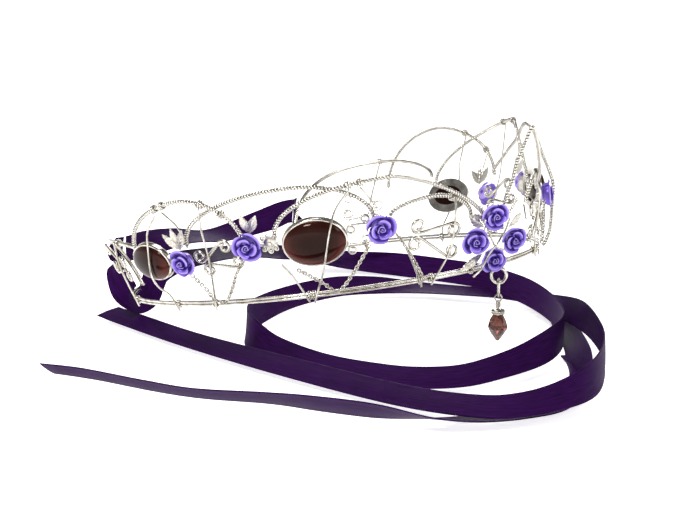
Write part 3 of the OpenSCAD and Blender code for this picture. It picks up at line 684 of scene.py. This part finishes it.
def satin():
    """Single-faced woven polyester satin: long floats give it a soft sheen, its selvedges are stitched."""
    m, tree, shader, spot = new_material(
        "satin_ribbon_weave",
        Roughness=0.55,
        Anisotropic=0.5,
        Sheen_Weight=0.04,
        Sheen_Roughness=0.35,
        Sheen_Tint=linear("#7a4cc0"),
        Specular_IOR_Level=0.1,
        Specular_Tint=linear("#9a5fd8"),
    )
    if tree is None:
        return m
    # u runs along in units of the ribbon's width, v across it from 0 to 1
    split = add_node(tree, "ShaderNodeSeparateXYZ", {"Vector": spot["UV"]}).outputs
    edge = add_node(tree, "ShaderNodeMath", {0: split["Y"], 1: 0.5}, operation="SUBTRACT")
    edge = add_node(tree, "ShaderNodeMath", {0: edge}, operation="ABSOLUTE")
    selvedge = add_node(tree, "ShaderNodeMapRange", {"Value": edge, "From Min": 0.43, "From Max": 0.47})
    # floats are drawn 0.35 mm wide, about three times the real thread, so that they show
    floats = add_node(tree, "ShaderNodeMapping", {"Vector": spot["UV"], "Scale": (1.2, 28.0, 1.0)})
    thread = add_node(tree, "ShaderNodeTexNoise", {"Vector": floats, "Scale": 1.0, "Detail": 3.0})
    # one stitch of the selvedge is about 1 mm long
    stitch = add_node(tree, "ShaderNodeMath", {0: split["X"], 1: 62.0}, operation="MULTIPLY")
    stitch = add_node(tree, "ShaderNodeMath", {0: stitch}, operation="SINE")
    stitch = add_node(tree, "ShaderNodeMath", {0: stitch, 1: selvedge}, operation="MULTIPLY")
    height = add_node(tree, "ShaderNodeMath", {0: stitch, 1: thread}, operation="ADD")
    stops = [(0.3, "#190624"), (0.7, settings().ribbon_colour)]
    dress(tree, shader, thread, stops, height, bump=(0.25, 0.00015))
    return m


def floor_paper():
    """Matt white background paper, smooth: bright enough to burn out to white, with a soft contact shadow."""
    m, tree, shader, spot = new_material("white_paper_sweep", Roughness=0.9, Emission_Color=(1, 1, 1, 1))
    if tree is None:
        return m
    # the sheet is faintly cloudy over about 25 mm
    clouds = add_node(tree, "ShaderNodeTexNoise", {"Vector": spot["Object"], "Scale": 40.0})
    dress(tree, shader, clouds, [(0.3, "#f7f7f6"), (0.7, "#fdfdfd")])
    # the paper behind is lit by lamps of its own, out of the picture
    far = add_node(tree, "ShaderNodeVectorMath", {0: spot["Object"]}, operation="LENGTH").outputs["Value"]
    values = {"Value": far, "From Min": 0.12, "From Max": 0.6, "To Min": 0.75, "To Max": 1.0}
    glow = add_node(tree, "ShaderNodeMapRange", values)
    tree.links.new(glow.outputs[0], shader.inputs["Emission Strength"])
    return m


# Properties


def length_property(name, description, default, low, high):
    """A length in metres that the user may change."""
    return bpy.props.FloatProperty(
        name=name, description=description, default=default, min=low, max=high, unit="LENGTH", precision=5
    )


def colour_property(name, description, code):
    """A colour that the user may change, from its hex value."""
    return bpy.props.FloatVectorProperty(
        name=name, description=description, subtype="COLOR", size=3, min=0, max=1, default=linear(code)[:3]
    )


class CrownSettings(bpy.types.PropertyGroup):
    """Sizes and colours of the crown's finish."""

    strand_lay: length_property("Strand lay", "One turn of the twisted wire", 0.0021, 0.0015, 0.006)
    lace_wire: length_property("Lacing wire", "Thickness of the lacing wire", 0.00068, 0.0003, 0.0007)
    link_wire: length_property("Chain wire", "Thickness of the links' wire", 0.00042, 0.0003, 0.0005)
    ribbon_thick: length_property("Ribbon", "Thickness of the woven ribbon", 0.00035, 0.0002, 0.0008)
    silver_colour: colour_property("Silver", "Colour of the bright silver plate", "#d2cec5")
    # this colour is also painted shade part way into the twisted strands' groove
    tarnish_and_shade_colour: colour_property("Tarnish", "Colour where the plate is handled", "#9a9283")
    rose_colour: colour_property("Roses", "Colour of the anodised petals", "#6e54bc")
    stone_colour: colour_property("Stones", "Colour at the middle of the oval stones", "#180806")
    ribbon_colour: colour_property("Satin", "Colour of the satin", "#300c46")


def settings():
    """The scene's crown settings."""
    return bpy.context.scene.crown_settings


# Stage


# the way from the object to the camera and the distance in metres
CAMERA_WAY, CAMERA_FAR = Vector((-0.7117, -0.6637, 0.23)), 0.603
CAMERA_LENS, CAMERA_SENSOR, CAMERA_SHIFT = 83.0, 36.0, (0.0197, 0.0076)
# place and size in metres, and power in watts
LAMPS = {
    "key": ((-0.8, -0.2, 0.8), 0.24, 10.0),
    "fill": ((0.25, -0.95, 0.55), 0.35, 3.0),
    "top": ((0.1, 0.3, 1.1), 0.6, 5.0),
    "rim": ((0.8, 0.6, 0.5), 0.3, 2.5),
}
# the studio's grey from the horizon (0) to straight above (1)
SKY = [(0.0, "#ffffff"), (0.14, "#f4f4f4"), (0.3, "#9a9a9c"), (0.6, "#5c5c5e"), (1.0, "#4a4a4c")]
FLOOR_RINGS, FLOOR_STEPS = np.array([0.4, 1.2, 3.0, 8.0]), 72


def aim(o, place):
    """Puts a camera or a lamp at a place, looking at the origin, and links it to the scene."""
    o.location = place
    o.rotation_mode = "QUATERNION"
    o.rotation_quaternion = (-Vector(place)).to_track_quat("-Z", "Y")
    bpy.context.scene.collection.objects.link(o)


class CrownOperator(bpy.types.Operator):
    """Base of the crown's operators."""

    bl_options = {"REGISTER", "UNDO"}


class CROWN_OT_stage(CrownOperator):
    """Makes the camera at the photograph's angle, the pale floor and the soft studio lights"""

    bl_idname = "crown.stage"
    bl_label = "Stage"

    def execute(self, context):
        scene = context.scene
        data = bpy.data.cameras.new("camera")
        data.lens, data.sensor_width = CAMERA_LENS, CAMERA_SENSOR
        data.shift_x, data.shift_y = CAMERA_SHIFT
        data.clip_start, data.clip_end = 0.01, 50
        scene.camera = bpy.data.objects.new("camera", data)
        aim(scene.camera, CAMERA_WAY.normalized() * CAMERA_FAR)
        scene.view_settings.view_transform = "Standard"

        # a disc of rings round the origin: (r cos a, r sin a, floor)
        a = 2 * math.pi * np.arange(FLOOR_STEPS) / FLOOR_STEPS
        r = FLOOR_RINGS[:, None]
        level = np.full((len(r), len(a)), FLOOR_Z)
        rings = np.stack([r * np.cos(a), r * np.sin(a), level], -1).reshape(-1, 3)
        quads = grid_faces(len(r), FLOOR_STEPS, wrap_cols=True)[:, ::-1].tolist()
        hub = [(len(rings), i, (i + 1) % FLOOR_STEPS) for i in range(FLOOR_STEPS)]
        me = bpy.data.meshes.new("floor")
        me.from_pydata([*rings.tolist(), (0, 0, FLOOR_Z)], [], quads + hub)
        me.materials.append(floor_paper())
        floor = bpy.data.objects.new("floor", me)
        scene.collection.objects.link(floor)

        for name, (place, size, power) in LAMPS.items():
            lamp = bpy.data.lights.new(name, "AREA")
            lamp.shape, lamp.size, lamp.energy = "SQUARE", size, power
            aim(bpy.data.objects.new(name, lamp), place)

        world = bpy.data.worlds.new("studio")
        world.use_nodes = True
        tree = world.node_tree
        tree.nodes.clear()
        way = add_node(tree, "ShaderNodeTexCoord").outputs["Generated"]
        z = add_node(tree, "ShaderNodeSeparateXYZ", {"Vector": way}).outputs["Z"]
        sky = add_node(tree, "ShaderNodeValToRGB", {"Fac": z}, SKY)
        glow = add_node(tree, "ShaderNodeBackground", {"Color": sky, "Strength": 1.0})
        add_node(tree, "ShaderNodeOutputWorld", {"Surface": glow})
        scene.world = world
        return {"FINISHED"}


# Ribbons and wires


RIBBON_WIDE, RIBBON_STEP = 0.01, 0.0012
# places across the ribbon as shares of half its width, and its thickness there, swollen at the selvedges
RIBBON_ACROSS = np.array([-1, -0.985, -0.93, -0.86, -0.5, 0, 0.5, 0.86, 0.93, 0.985, 1.0])
RIBBON_SWELL = np.array([0.5, 1.0, 1.35, 1, 1, 1, 1, 1, 1.35, 1.0, 0.5])
RIBBON_CUP = 0.0003
# metres between the points of a twisted and of a plain arch, and the furthest that a lace hangs from an arch
STRAND_STEP, FRAME_STEP, LACE_REACH = 0.00028, 0.0008, 0.0035
# the height between the two base wires, and the reach of a lace's wrap out and up round both
BASE_MIDDLE, BASE_REACH = 0.52, (0.75 * MM, 1.3 * MM)
# turns and pitch of a lace's wraps round an arch and round the base wires
ARCH_WRAP, BASE_WRAP = (2.5, 1.15), (2, 1.1)
LACE_STEP = 0.0005
# size of a chain's link
LINK_LONG, LINK_WIDE = 0.0019, 0.0015


class CROWN_OT_ribbons(CrownOperator):
    """Makes the satin ribbons along their routes, with thicker stitched selvedges"""

    bl_idname = "crown.ribbons"
    bl_label = "Ribbons"

    def execute(self, context):
        for name, rows in RIBBONS.items():
            dense = evenly(smooth(rows) * (MM, MM, MM, math.pi / 180), RIBBON_STEP)
            path, lean = dense[:, :3], dense[:, 3:4]
            along = unit(np.gradient(path, axis=0))
            level_way = unit(np.cross((0.0, 0.0, 1.0), along))
            wide = np.cos(lean) * level_way + np.sin(lean) * np.cross(along, level_way)
            face = np.cross(along, wide)
            s = distance_along(path)
            # a satin ribbon cups a little across its width: offset = cup (q^2 - 1/3)
            sideways = (RIBBON_ACROSS * RIBBON_WIDE / 2)[:, None]
            raised = (RIBBON_CUP * (RIBBON_ACROSS**2 - 1 / 3))[:, None]
            points = path[:, None] + wide[:, None] * sideways + face[:, None] * raised
            uv = np.stack(np.broadcast_arrays(s[:, None] / RIBBON_WIDE, (RIBBON_ACROSS + 1) / 2), -1)
            parts = [shell(points, settings().ribbon_thick * RIBBON_SWELL, uv)]
            o = piece(name, "satin", parts, satin(), sharp=50)
        return {"FINISHED"}


class CROWN_OT_base_wires(CrownOperator):
    """Gives the two plain base wires their drawn silver finish"""

    bl_idname = "crown.base_wires"
    bl_label = "Base wires"

    def execute(self, context):
        for name in ("base_wire_upper", "base_wire_lower"):
            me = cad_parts[name].data
            me.materials.clear()
            me.materials.append(silver_wire())
        return {"FINISHED"}


class CROWN_OT_arches(CrownOperator):
    """Makes the twisted wires of the arches and the plain wires of the end frames"""

    bl_idname = "crown.arches"
    bl_label = "Arches"

    def execute(self, context):
        for name, route in arch_routes().items():
            if name.startswith("end_frame"):
                path = evenly(route, FRAME_STEP)
                parts = [tube(path, outward(path), ARCH_WIRE / 2 * MM, sides=14)]
                piece(name, "wire", parts, silver_wire())
            else:
                path = evenly(route, STRAND_STEP)
                parts = twisted(path, outward(path), ARCH_WIRE * MM, settings().strand_lay)
                piece(name, "strands", parts, silver_wire(True))
        return {"FINISHED"}


class CROWN_OT_lacing(CrownOperator):
    """Makes the fine lacing wires, their wraps round the base wires and round the arches they hang from"""

    bl_idname = "crown.lacing"
    bl_label = "Lacing"

    def execute(self, context):
        wire = settings().lace_wire
        arches = list(arch_routes().values())
        crossing = np.vstack(arches)
        along_all = np.vstack([unit(np.gradient(a, axis=0)) for a in arches])
        for name, strands in LACES.items():
            parts = []
            for strand in strands:
                path = evenly(band(smooth(strand, 8)), LACE_STEP)
                parts.append(tube(path, outward(path), wire / 2))
                gap = np.linalg.norm(crossing - path[0], axis=1)
                k = int(gap.argmin())
                if gap[k] < LACE_REACH:
                    centre, along = crossing[k], along_all[k]
                    side = unit(outward(centre) - (outward(centre) * along).sum() * along)
                    reach = ARCH_WIRE / 2 * MM + wire / 2
                    parts.append(coil(centre, along, side, (reach, reach), *ARCH_WRAP, wire))
                t, low, _ = strand[-1]
                if low < 0:
                    centre = band((t, BASE_MIDDLE, 0))
                    along = unit(band((t - 0.5, BASE_MIDDLE, 0)) - band((t + 0.5, BASE_MIDDLE, 0)))
                    parts.append(coil(centre, along, outward(centre), BASE_REACH, *BASE_WRAP, wire))
            piece(name, "wires", parts, silver_wire())
        return {"FINISHED"}


class CROWN_OT_chains(CrownOperator):
    """Makes the rope chains, each of many closed links that hang in one another"""

    bl_idname = "crown.chains"
    bl_label = "Rope chains"

    def execute(self, context):
        wire = settings().link_wire
        steps, sides = 12, 6
        a = 2 * math.pi * np.arange(steps)[:, None] / steps
        b = 2 * math.pi * np.arange(sides)[None] / sides
        # a link is a round wire carried round an oval: (l cos a, w sin a, 0) + r (cos b outwards, sin b up)
        swell = wire / 2 * np.cos(b)
        x = ((LINK_LONG - wire) / 2 + swell) * np.cos(a)
        y = ((LINK_WIDE - wire) / 2 + swell) * np.sin(a)
        z = np.broadcast_to(wire / 2 * np.sin(b), x.shape)
        link = np.stack([x, y, z], -1).reshape(-1, 3)
        faces = grid_faces(steps, sides, wrap_rows=True, wrap_cols=True)
        for name, (side, rows) in CHAINS.items():
            flat = [(on_side(t, side), h, out[0] if out else CHAIN_OUT) for t, h, *out in rows]
            path = evenly(band(smooth(flat)), LINK_LONG - 2 * wire)
            along, out, up = frames(path, outward(path))
            # each link is a quarter turn from the last
            turn = math.radians(45) + math.pi / 2 * np.arange(len(path))[:, None]
            wide = np.cos(turn) * out + np.sin(turn) * up
            axes = np.stack([along, wide, np.cross(along, wide)], 1)
            v = path[:, None] + np.einsum("pk,nkc->npc", link, axes)
            f = (faces[None] + len(link) * np.arange(len(path))[:, None, None]).reshape(-1, 4)
            piece(name, "links", [outside_out(v.reshape(-1, 3), f)], silver_wire())
        return {"FINISHED"}


# Stones and roses


# the dome's edge above the stone's back, its rise as a share of the stone's height, and the gap in the bezel
STONE_EDGE, STONE_RISE, STONE_GAP = 1.2, 0.2, 0.1
STONE_OUT, BEZEL_OUT = 1.6, 1
STONE_STEPS, BEZEL_STEPS = 96, 112
# the bezel's section: distance out from the stone's edge and height above the cup's back
BEZEL = np.array([
    (0.05, 0.45), (0.05, 1.5), (-0.12, 1.78), (-0.1, 1.9), (0.12, 1.9), (0.4, 1.7), (0.5, 1.4), (0.5, 0.2),
    (0.62, 0.12), (0.6, 0), (-2.5, 0), (-2.5, 0.45),
])
# half angle, lower and upper radius, lower and upper height, radius of the lip, spiral and thickness
OUTER_PETAL = (66, 1.2, 3.95, 0.0, 2.7, 0.68, 0.45, 0.34)
INNER_PETAL = (64, 0.9, 2.35, 0.6, 3.8, 0.6, 0.35, 0.32)
# radius and height
ROSE_FOOT = [(0.1, -0.6), (1.4, -0.6), (2.6, -0.1), (2.9, 0.5), (2.2, 1.3), (1.2, 1.8), (0.1, 1.9)]
ROSE_OUT, ROSE_MIDDLE = 1.8, (0, 0, 2.4)
FRONT_SWING = math.radians(20)


class CROWN_OT_stones(CrownOperator):
    """Makes the four domed glass stones and the thin rubbed-over bezels that hold them"""

    bl_idname = "crown.stones"
    bl_label = "Stones"

    def execute(self, context):
        for name, (t, h, length, height) in STONES.items():
            # the dome is a quarter ellipse: (cos e, edge + rise sin e)
            rise = height * STONE_RISE
            e = np.linspace(0, math.pi / 2, 22)[:-1]
            dome = np.column_stack([np.cos(e), STONE_EDGE + rise * np.sin(e)])
            profile = np.vstack([(0.5, 0), (0.97, 0), (1, 0.08), dome, (0.02, STONE_EDGE + rise)])
            stone = turned_form(profile, STONE_STEPS, length / 2 - STONE_GAP, height / 2 - STONE_GAP)
            parts = [on_band(stone, t, h, STONE_OUT)]
            piece(f"stone_{name}", "dome", parts, dark_glass(), sharp=35)

            # the bezel's section is carried round the stone's edge
            a = 2 * math.pi * np.arange(BEZEL_STEPS) / BEZEL_STEPS
            edge = np.stack([length / 2 * np.cos(a), height / 2 * np.sin(a)], -1)
            normal = unit(np.stack([np.cos(a) / length, np.sin(a) / height], -1))
            ring = edge[None] + BEZEL[:, :1, None] * normal[None]
            z = np.broadcast_to(BEZEL[:, 1:], (len(BEZEL), len(a)))
            v = np.concatenate([ring, z[..., None]], -1).reshape(-1, 3)
            f = grid_faces(len(BEZEL), len(a), wrap_rows=True, wrap_cols=True)
            parts = [outside_out(laid(v, t, h, BEZEL_OUT), f)]
            piece(f"bezel_{name}", "cup", parts, silver_wire(), sharp=50)
        return {"FINISHED"}


def petal(turn, half, r0, r1, h0, h1, roll, twist, thick):
    """One petal: a bowl's wall from radius r0 to r1 and height h0 to h1 whose lip rolls outwards.

    Along v the wall is r = r0 + (r1 - r0) sin(v pi/2)^1.3 and h = h0 + (h1 - h0) v^1.4, then the lip turns by
    140 degrees on radius roll. Its edges are rounded, with v shortened to 1 - 0.3 u^4. It spirals by twist u.
    """
    u, v = np.meshgrid(np.linspace(-1, 1, 25), np.linspace(0, 1, 18), indexing="ij")
    w = v * (1 - 0.3 * u**4)
    wall_share = 0.72
    wall = np.clip(w / wall_share, 0, 1)
    lip = np.clip((w - wall_share) / (1 - wall_share), 0, 1) * math.radians(140)
    r = r0 + (r1 - r0) * np.sin(wall * math.pi / 2) ** 1.3 + roll * (1 - np.cos(lip)) + twist * u
    h = h0 + (h1 - h0) * wall**1.4 + roll * np.sin(lip)
    a = math.radians(turn) + math.radians(half) * u * (0.75 + 0.25 * wall)
    points = np.stack([r * np.cos(a), r * np.sin(a), h], -1)
    return shell(points, thick, np.stack([(u + 1) / 2, w], -1))


def heart(turn):
    """The rolled heart: a spiral wall of 1.6 turns, r = 0.15 + s + 0.25 v s, with a wavy top."""
    s, v = np.meshgrid(np.linspace(0, 1, 60), np.linspace(0, 1, 8), indexing="ij")
    a = math.radians(turn) + 2 * math.pi * 1.6 * s
    r = 0.15 + 1.0 * s + 0.25 * v * s
    points = np.stack([r * np.cos(a), r * np.sin(a), 2.2 + (2.3 + 0.35 * np.cos(2 * a)) * v], -1)
    # the heart takes the petals' colours from part way up to near the lip, so its top carries painted
    # highlight
    return shell(points, 0.3, np.stack([s, 0.35 + 0.6 * v], -1))


class CROWN_OT_roses(CrownOperator):
    """Makes the anodised roses: three outer petals, three inner ones and a spiral heart"""

    bl_idname = "crown.roses"
    bl_label = "Roses"

    def execute(self, context):
        for name, (t, h, turn, size) in ROSES.items():
            forms = []
            for a in (turn, turn + 120, turn + 240):
                forms += [petal(a, *OUTER_PETAL), petal(a + 60, *INNER_PETAL)]
            forms += [heart(turn), turned_form(ROSE_FOOT, 32)]
            # the front four are turned towards the wearer's right, about their own middle
            a = FRONT_SWING if name.startswith("rose_front") else 0.0
            swing = np.array([(math.cos(a), 0, math.sin(a)), (0, 1, 0), (-math.sin(a), 0, math.cos(a))])
            parts = []
            for v, *rest in forms:
                v = (v * size - ROSE_MIDDLE) @ swing + ROSE_MIDDLE
                parts.append(on_band((v, *rest), t, h, ROSE_OUT))
            piece(name, "petals", parts, anodised_violet(), sharp=60)
        return {"FINISHED"}


# Scrolls and leaves


SCROLL_WIRE, SMALL_LINK_WIRE = 1.1, 0.7
# each scroll of a pair: its arm and its coils' radii, 1 or -1 for upside down, its turn and its foot
SCROLL_PAIR = [((12, 2.6, 2.6), 1, 8, (-1.3, 0.9, 0)), ((13, 2.6, 2.4), -1, -40, (-1, -0.9, 0))]
SMALL_LINK = (4.4, 1.7, 1.6)
SMALL_LINKS_AT, SMALL_LINKS_HEIGHTS = 39.9, (22.9, 16)
FLORET_AT, FLORET_HEIGHT, LEAF_OUT = 59.7, 20.2, 1.2
# the floret's eight loops: distance from its middle, half length, half width, tilt and radius of the wire
LOOP_AT, LOOP_LONG, LOOP_WIDE, LOOP_TILT, LOOP_WIRE = 2.6, 0.85, 0.72, 0.15, 0.22
# radius and height
FLORET_BOSS = [(0.2, -0.25), (2.0, -0.25), (2.1, 0), (1.7, 0.35), (0.9, 0.45), (0.7, 0.9), (0.1, 1.05)]
# angle, height, length, width and turns of the leaf tips beside the roses
SIDE_LEAVES = [(82.4, 20.6, 8, 3, (62, 96, 132)), (63.6, 24.2, 7, 2.8, (60, 104))]


def s_scroll(length, r_start, r_end, steps=40, turns=1.1):
    """A straight arm along x with a coil at each end, whose radius shrinks to 0.45 of its start."""
    s = np.linspace(0, 1, steps, endpoint=False)
    a = -math.pi / 2 - 2 * math.pi * turns * (1 - s)
    r = r_start * (0.45 + 0.55 * s)
    first = np.column_stack([r * np.cos(a), r_start + r * np.sin(a)])
    s = np.linspace(0, 1, steps + 1)[1:]
    a = math.pi / 2 - 2 * math.pi * turns * s
    r = r_end * (1 - 0.55 * s)
    last = np.column_stack([length + r * np.cos(a), -r_end + r * np.sin(a)])
    arm = np.column_stack([np.linspace(0, length, 12), np.zeros(12)])
    flat = np.vstack([first, arm, last])
    return np.column_stack([flat, np.zeros(len(flat))])


def turned(path, degrees, at=(0, 0, 0)):
    """A flat path turned about its origin, (x cos a - y sin a, x sin a + y cos a), and moved."""
    a = math.radians(degrees)
    c, s = math.cos(a), math.sin(a)
    x, y, z = path.T
    return np.column_stack([x * c - y * s, x * s + y * c, z]) + at


class CROWN_OT_scrolls(CrownOperator):
    """Makes the pairs of bent wire scrolls and the small links beside the front roses"""

    bl_idname = "crown.scrolls"
    bl_label = "Scrolls"

    def execute(self, context):
        for name, (t, h, turn, size) in SCROLLS.items():
            mirror = math.copysign(1, size)
            parts = []
            for lengths, way, lean, foot in SCROLL_PAIR:
                path = s_scroll(*(abs(size) * length for length in lengths))
                path = turned(path * (1, way, 1), lean, foot) * (mirror, 1, 1)
                route = laid(turned(path, mirror * turn), t, h)
                parts.append(tube(route, outward(route), SCROLL_WIRE / 2 * MM, sides=10))
            piece(name, "wires", parts, silver_wire())
        for name, side in (("links_right", 1), ("links_left", -1)):
            flat = (s_scroll(*SMALL_LINK) - (SMALL_LINK[0] / 2, 0, 0)) * (-side, 1, 1)
            parts = []
            for h in SMALL_LINKS_HEIGHTS:
                route = laid(flat, on_side(SMALL_LINKS_AT, side), h, 1)
                parts.append(tube(route, outward(route), SMALL_LINK_WIRE / 2 * MM, sides=10))
            piece(name, "wires", parts, silver_wire())
        return {"FINISHED"}


def leaf(length, width, turn):
    """A pointed leaf: half width w/2 sin(pi s), sides cupped up by 0.12 w and a raised vein in the middle."""
    s, q = np.meshgrid(np.linspace(0.01, 0.99, 26), np.linspace(-1, 1, 17), indexing="ij")
    half = width / 2 * np.sin(math.pi * s) * (1 + 0.06 * np.sin(14 * math.pi * s))
    cup = 0.12 * width * q**2
    vein = 0.16 * np.exp(-((q / 0.12) ** 2))
    ribs = 0.06 * np.cos(10 * math.pi * (s - 0.35 * np.abs(q)))
    z = (cup + vein) * np.sin(math.pi * s) + ribs
    points = np.stack([length * s, half * q, z], -1)
    a = math.radians(turn)
    spin = np.array([(math.cos(a), math.sin(a), 0), (-math.sin(a), math.cos(a), 0), (0, 0, 1)])
    return shell(points @ spin, 0.3)


def bead(radius, half_height, cut, steps):
    """A round bead: (radius sin e, -half height cos e), with e from one pole to the other."""
    e = np.linspace(cut, math.pi - cut, steps)
    return turned_form(np.column_stack([radius * np.sin(e), -half_height * np.cos(e)]), 12)[:2]


class CROWN_OT_leaves(CrownOperator):
    """Makes the pierced florets and the leaf tips round the roses"""

    bl_idname = "crown.leaves"
    bl_label = "Leaves"

    def execute(self, context):
        a = np.linspace(0, 2 * math.pi, 24, endpoint=False)
        x, y, z = LOOP_AT + LOOP_LONG * np.cos(a), LOOP_WIDE * np.sin(a), LOOP_TILT * np.cos(a)
        loop = np.column_stack([x, y, z])
        for side_name, side in (("right", 1), ("left", -1)):
            place = (on_side(FLORET_AT, side), FLORET_HEIGHT, LEAF_OUT)
            parts = []
            for turn in range(0, 360, 45):
                route = laid(turned(loop, turn, (0, 0, 0.1)), *place)
                parts.append(tube(route, outward(route), LOOP_WIRE * MM, sides=7, closed=True))
                v, f = bead(0.42, 0.35, 0.06, 9)
                middle = turned(np.array([(LOOP_AT, 0, 0.25)]), turn)
                parts.append(on_band((v + middle, f), *place))
            parts.append(on_band(turned_form(FLORET_BOSS, 40)[:2], *place))
            piece(f"floret_{side_name}", "filigree", parts, stamped_silver(), sharp=50)

            parts = []
            for t, h, length, width, turns in SIDE_LEAVES:
                for turn in turns:
                    form = leaf(length, width, turn if side > 0 else 180 - turn)
                    parts.append(on_band(form, on_side(t, side), h, LEAF_OUT))
            piece(f"leaves_{side_name}", "filigree", parts, stamped_silver(), sharp=50)
        parts = [on_band(leaf(*row), t, h, LEAF_OUT) for t, h, *row in FRONT_LEAVES]
        piece("leaves_front", "filigree", parts, stamped_silver(), sharp=50)
        return {"FINISHED"}


# Pendant


# radius and height below the cap's top
DROP_CAP = [
    (0.1, 0), (1.0, 0), (1.6, -0.15), (2.2, -0.35), (2.4, -0.6), (2.3, -0.75), (2.3, -1.2), (2.4, -1.35),
    (2.36, -1.75), (2.1, -1.9), (0.1, -1.9),
]
# radius and height of each ring of corners, and the share of a step that it is turned: staggered rings give
# long kite facets, then a short belt and a pointed foot
DROP_SIDES = 10
DROP_RINGS = [
    (1.7, 0, 0), (2.75, -2.0, 0.5), (3.4, -4.3, 0), (3.4, -5, 0.5), (2.2, -7.1, 0), (0.5, -9.4, 0.5),
]


class CROWN_OT_pendant(CrownOperator):
    """Makes the double bail ring, the long link, the wound neck, the cap with its grains and the cut drop"""

    bl_idname = "crown.pendant"
    bl_label = "Pendant"

    def execute(self, context):
        # radii and thicknesses, heights below the middle of the hang, and turns
        bail_r, bail_wire, bail_z, bail_turns = 2.6, 0.9, -3.9, 1.9
        link_r, link_wire, link_l = 1.4, 0.55, 3.4
        eye_r, stem_r = 1.2, 0.42
        neck_r, neck_wire, neck_high, neck_turns = 0.58, 0.52, 1.9, 3.5
        grain_r, grain_high, grain_at = 0.378, 0.42, 2.02
        link_top = bail_z - bail_r
        link_low = link_top - link_l
        eye_z = link_low - link_r + 0.7 - eye_r
        neck_top = eye_z - eye_r + 0.1
        cap_top = eye_z - eye_r - 2.6
        level_way, through = (unit(hung([way]) - hung([(0, 0, 0)])) for way in ((1, 0, 0), (0, 1, 0)))

        # the bail is a ring of nearly two turns side by side: (r cos a, pitch turns s, r sin a)
        s = np.linspace(0, 1, 110)
        a = 2 * math.pi * bail_turns * s + math.radians(108)
        sideways = (bail_wire + 0.1) * (s - 0.5) * bail_turns
        path = np.column_stack([bail_r * np.cos(a), sideways, bail_r * np.sin(a) + bail_z])
        parts = [tube(hung(path), through, bail_wire / 2 * MM, sides=14)]
        piece("bail_ring", "wire", parts, silver_wire())

        # the link is two half rings joined by straight sides
        a = np.linspace(0, math.pi, 24)
        half = np.column_stack([np.zeros(len(a)), link_r * np.cos(a), link_r * np.sin(a)])
        top, low = half + (0, 0, link_top), half * (1, -1, -1) + (0, 0, link_low)
        path = np.vstack([top, low, top[:1]])
        path = evenly(hung(path), 0.0003)[:-1]
        parts = [tube(path, level_way, link_wire / 2 * MM, sides=12, closed=True)]
        piece("drop_link", "wire", parts, silver_wire(), "link")

        a = np.linspace(0, 2 * math.pi, 40, endpoint=False)
        eye = np.column_stack([eye_r * np.cos(a), np.zeros(len(a)), eye_r * np.sin(a) + eye_z])
        parts = [tube(hung(eye), through, link_wire / 2 * MM, sides=12, closed=True)]
        # the neck is wound down the eye's stem: (r cos a, r sin a, top - high s)
        s = np.linspace(0, 1, 90)
        a = 2 * math.pi * neck_turns * s
        wound = np.column_stack([neck_r * np.cos(a), neck_r * np.sin(a), neck_top - 0.25 - neck_high * s])
        parts.append(tube(hung(wound), (0.0, 0.0, 1.0), neck_wire / 2 * MM))
        stem = [(0.1, cap_top - 0.2), (stem_r, cap_top - 0.2), (stem_r, neck_top), (0.1, neck_top)]
        forms = [turned_form(stem, 16)[:2], turned_form(np.array(DROP_CAP) + (0, cap_top), 48)[:2]]
        for k in range(DROP_SIDES):
            a = 2 * math.pi * (k + 0.5) / DROP_SIDES
            v, f = bead(grain_r, grain_high, 0.08, 8)
            forms.append((v + (grain_at * math.cos(a), grain_at * math.sin(a), cap_top - 0.98), f))
        parts += [(hung(v), f) for v, f in forms]
        piece("drop_cap", "fitting", parts, silver_wire(), "drop", 50)

        n = DROP_SIDES
        r, z, share = (column[:, None] for column in np.array(DROP_RINGS).T)
        a = 2 * math.pi * (np.arange(n) + share) / n
        v = np.stack([r * np.cos(a), r * np.sin(a), np.broadcast_to(z, a.shape)], -1).reshape(-1, 3)
        v = v + (0, 0, cap_top - 1.95)
        f = []
        k = np.arange(n)
        for i, (_, _, part) in enumerate(DROP_RINGS[:-1]):
            shift = 0 if part == 0 else 1
            a, b = i * n + k, i * n + (k + 1) % n
            c, d = (i + 1) * n + (k + shift) % n, (i + 1) * n + (k + shift - 1) % n
            f += [np.column_stack([a, b, c, -np.ones(n, int)]), np.column_stack([a, c, d, -np.ones(n, int)])]
        f += end_fans(len(v), n)
        v = np.vstack([v, v[:n].mean(0), v[-n:].mean(0)])
        parts = [outside_out(hung(v), np.vstack(f))]
        piece("drop_stone", "cut", parts, brown_crystal(), "drop", 0)
        return {"FINISHED"}


# Panel and registration


OPERATORS = (
    CROWN_OT_stage,
    CROWN_OT_ribbons,
    CROWN_OT_base_wires,
    CROWN_OT_arches,
    CROWN_OT_lacing,
    CROWN_OT_chains,
    CROWN_OT_stones,
    CROWN_OT_roses,
    CROWN_OT_scrolls,
    CROWN_OT_leaves,
    CROWN_OT_pendant,
)


class CROWN_PT_panel(bpy.types.Panel):
    """Lists the crown's steps and settings"""

    bl_label = "Wire crown"
    bl_idname = "CROWN_PT_panel"
    bl_space_type = "VIEW_3D"
    bl_region_type = "UI"
    bl_category = "Crown"

    def draw(self, context):
        for name in CrownSettings.__annotations__:
            self.layout.prop(settings(), name)
        for operator in OPERATORS:
            self.layout.operator(operator.bl_idname)


CLASSES = (CrownSettings, *OPERATORS, CROWN_PT_panel)


def register():
    """Adds the classes and the scene's settings to Blender."""
    for item in CLASSES:
        bpy.utils.register_class(item)
    bpy.types.Scene.crown_settings = bpy.props.PointerProperty(type=CrownSettings)


def unregister():
    """Takes the settings and the classes out of Blender again."""
    del bpy.types.Scene.crown_settings
    for item in reversed(CLASSES):
        bpy.utils.unregister_class(item)


def main():
    """Makes every piece in order."""
    register()
    for operator in OPERATORS:
        group, call = operator.bl_idname.split(".")
        getattr(getattr(bpy.ops, group), call)()


if __name__ == "__main__":
    main()
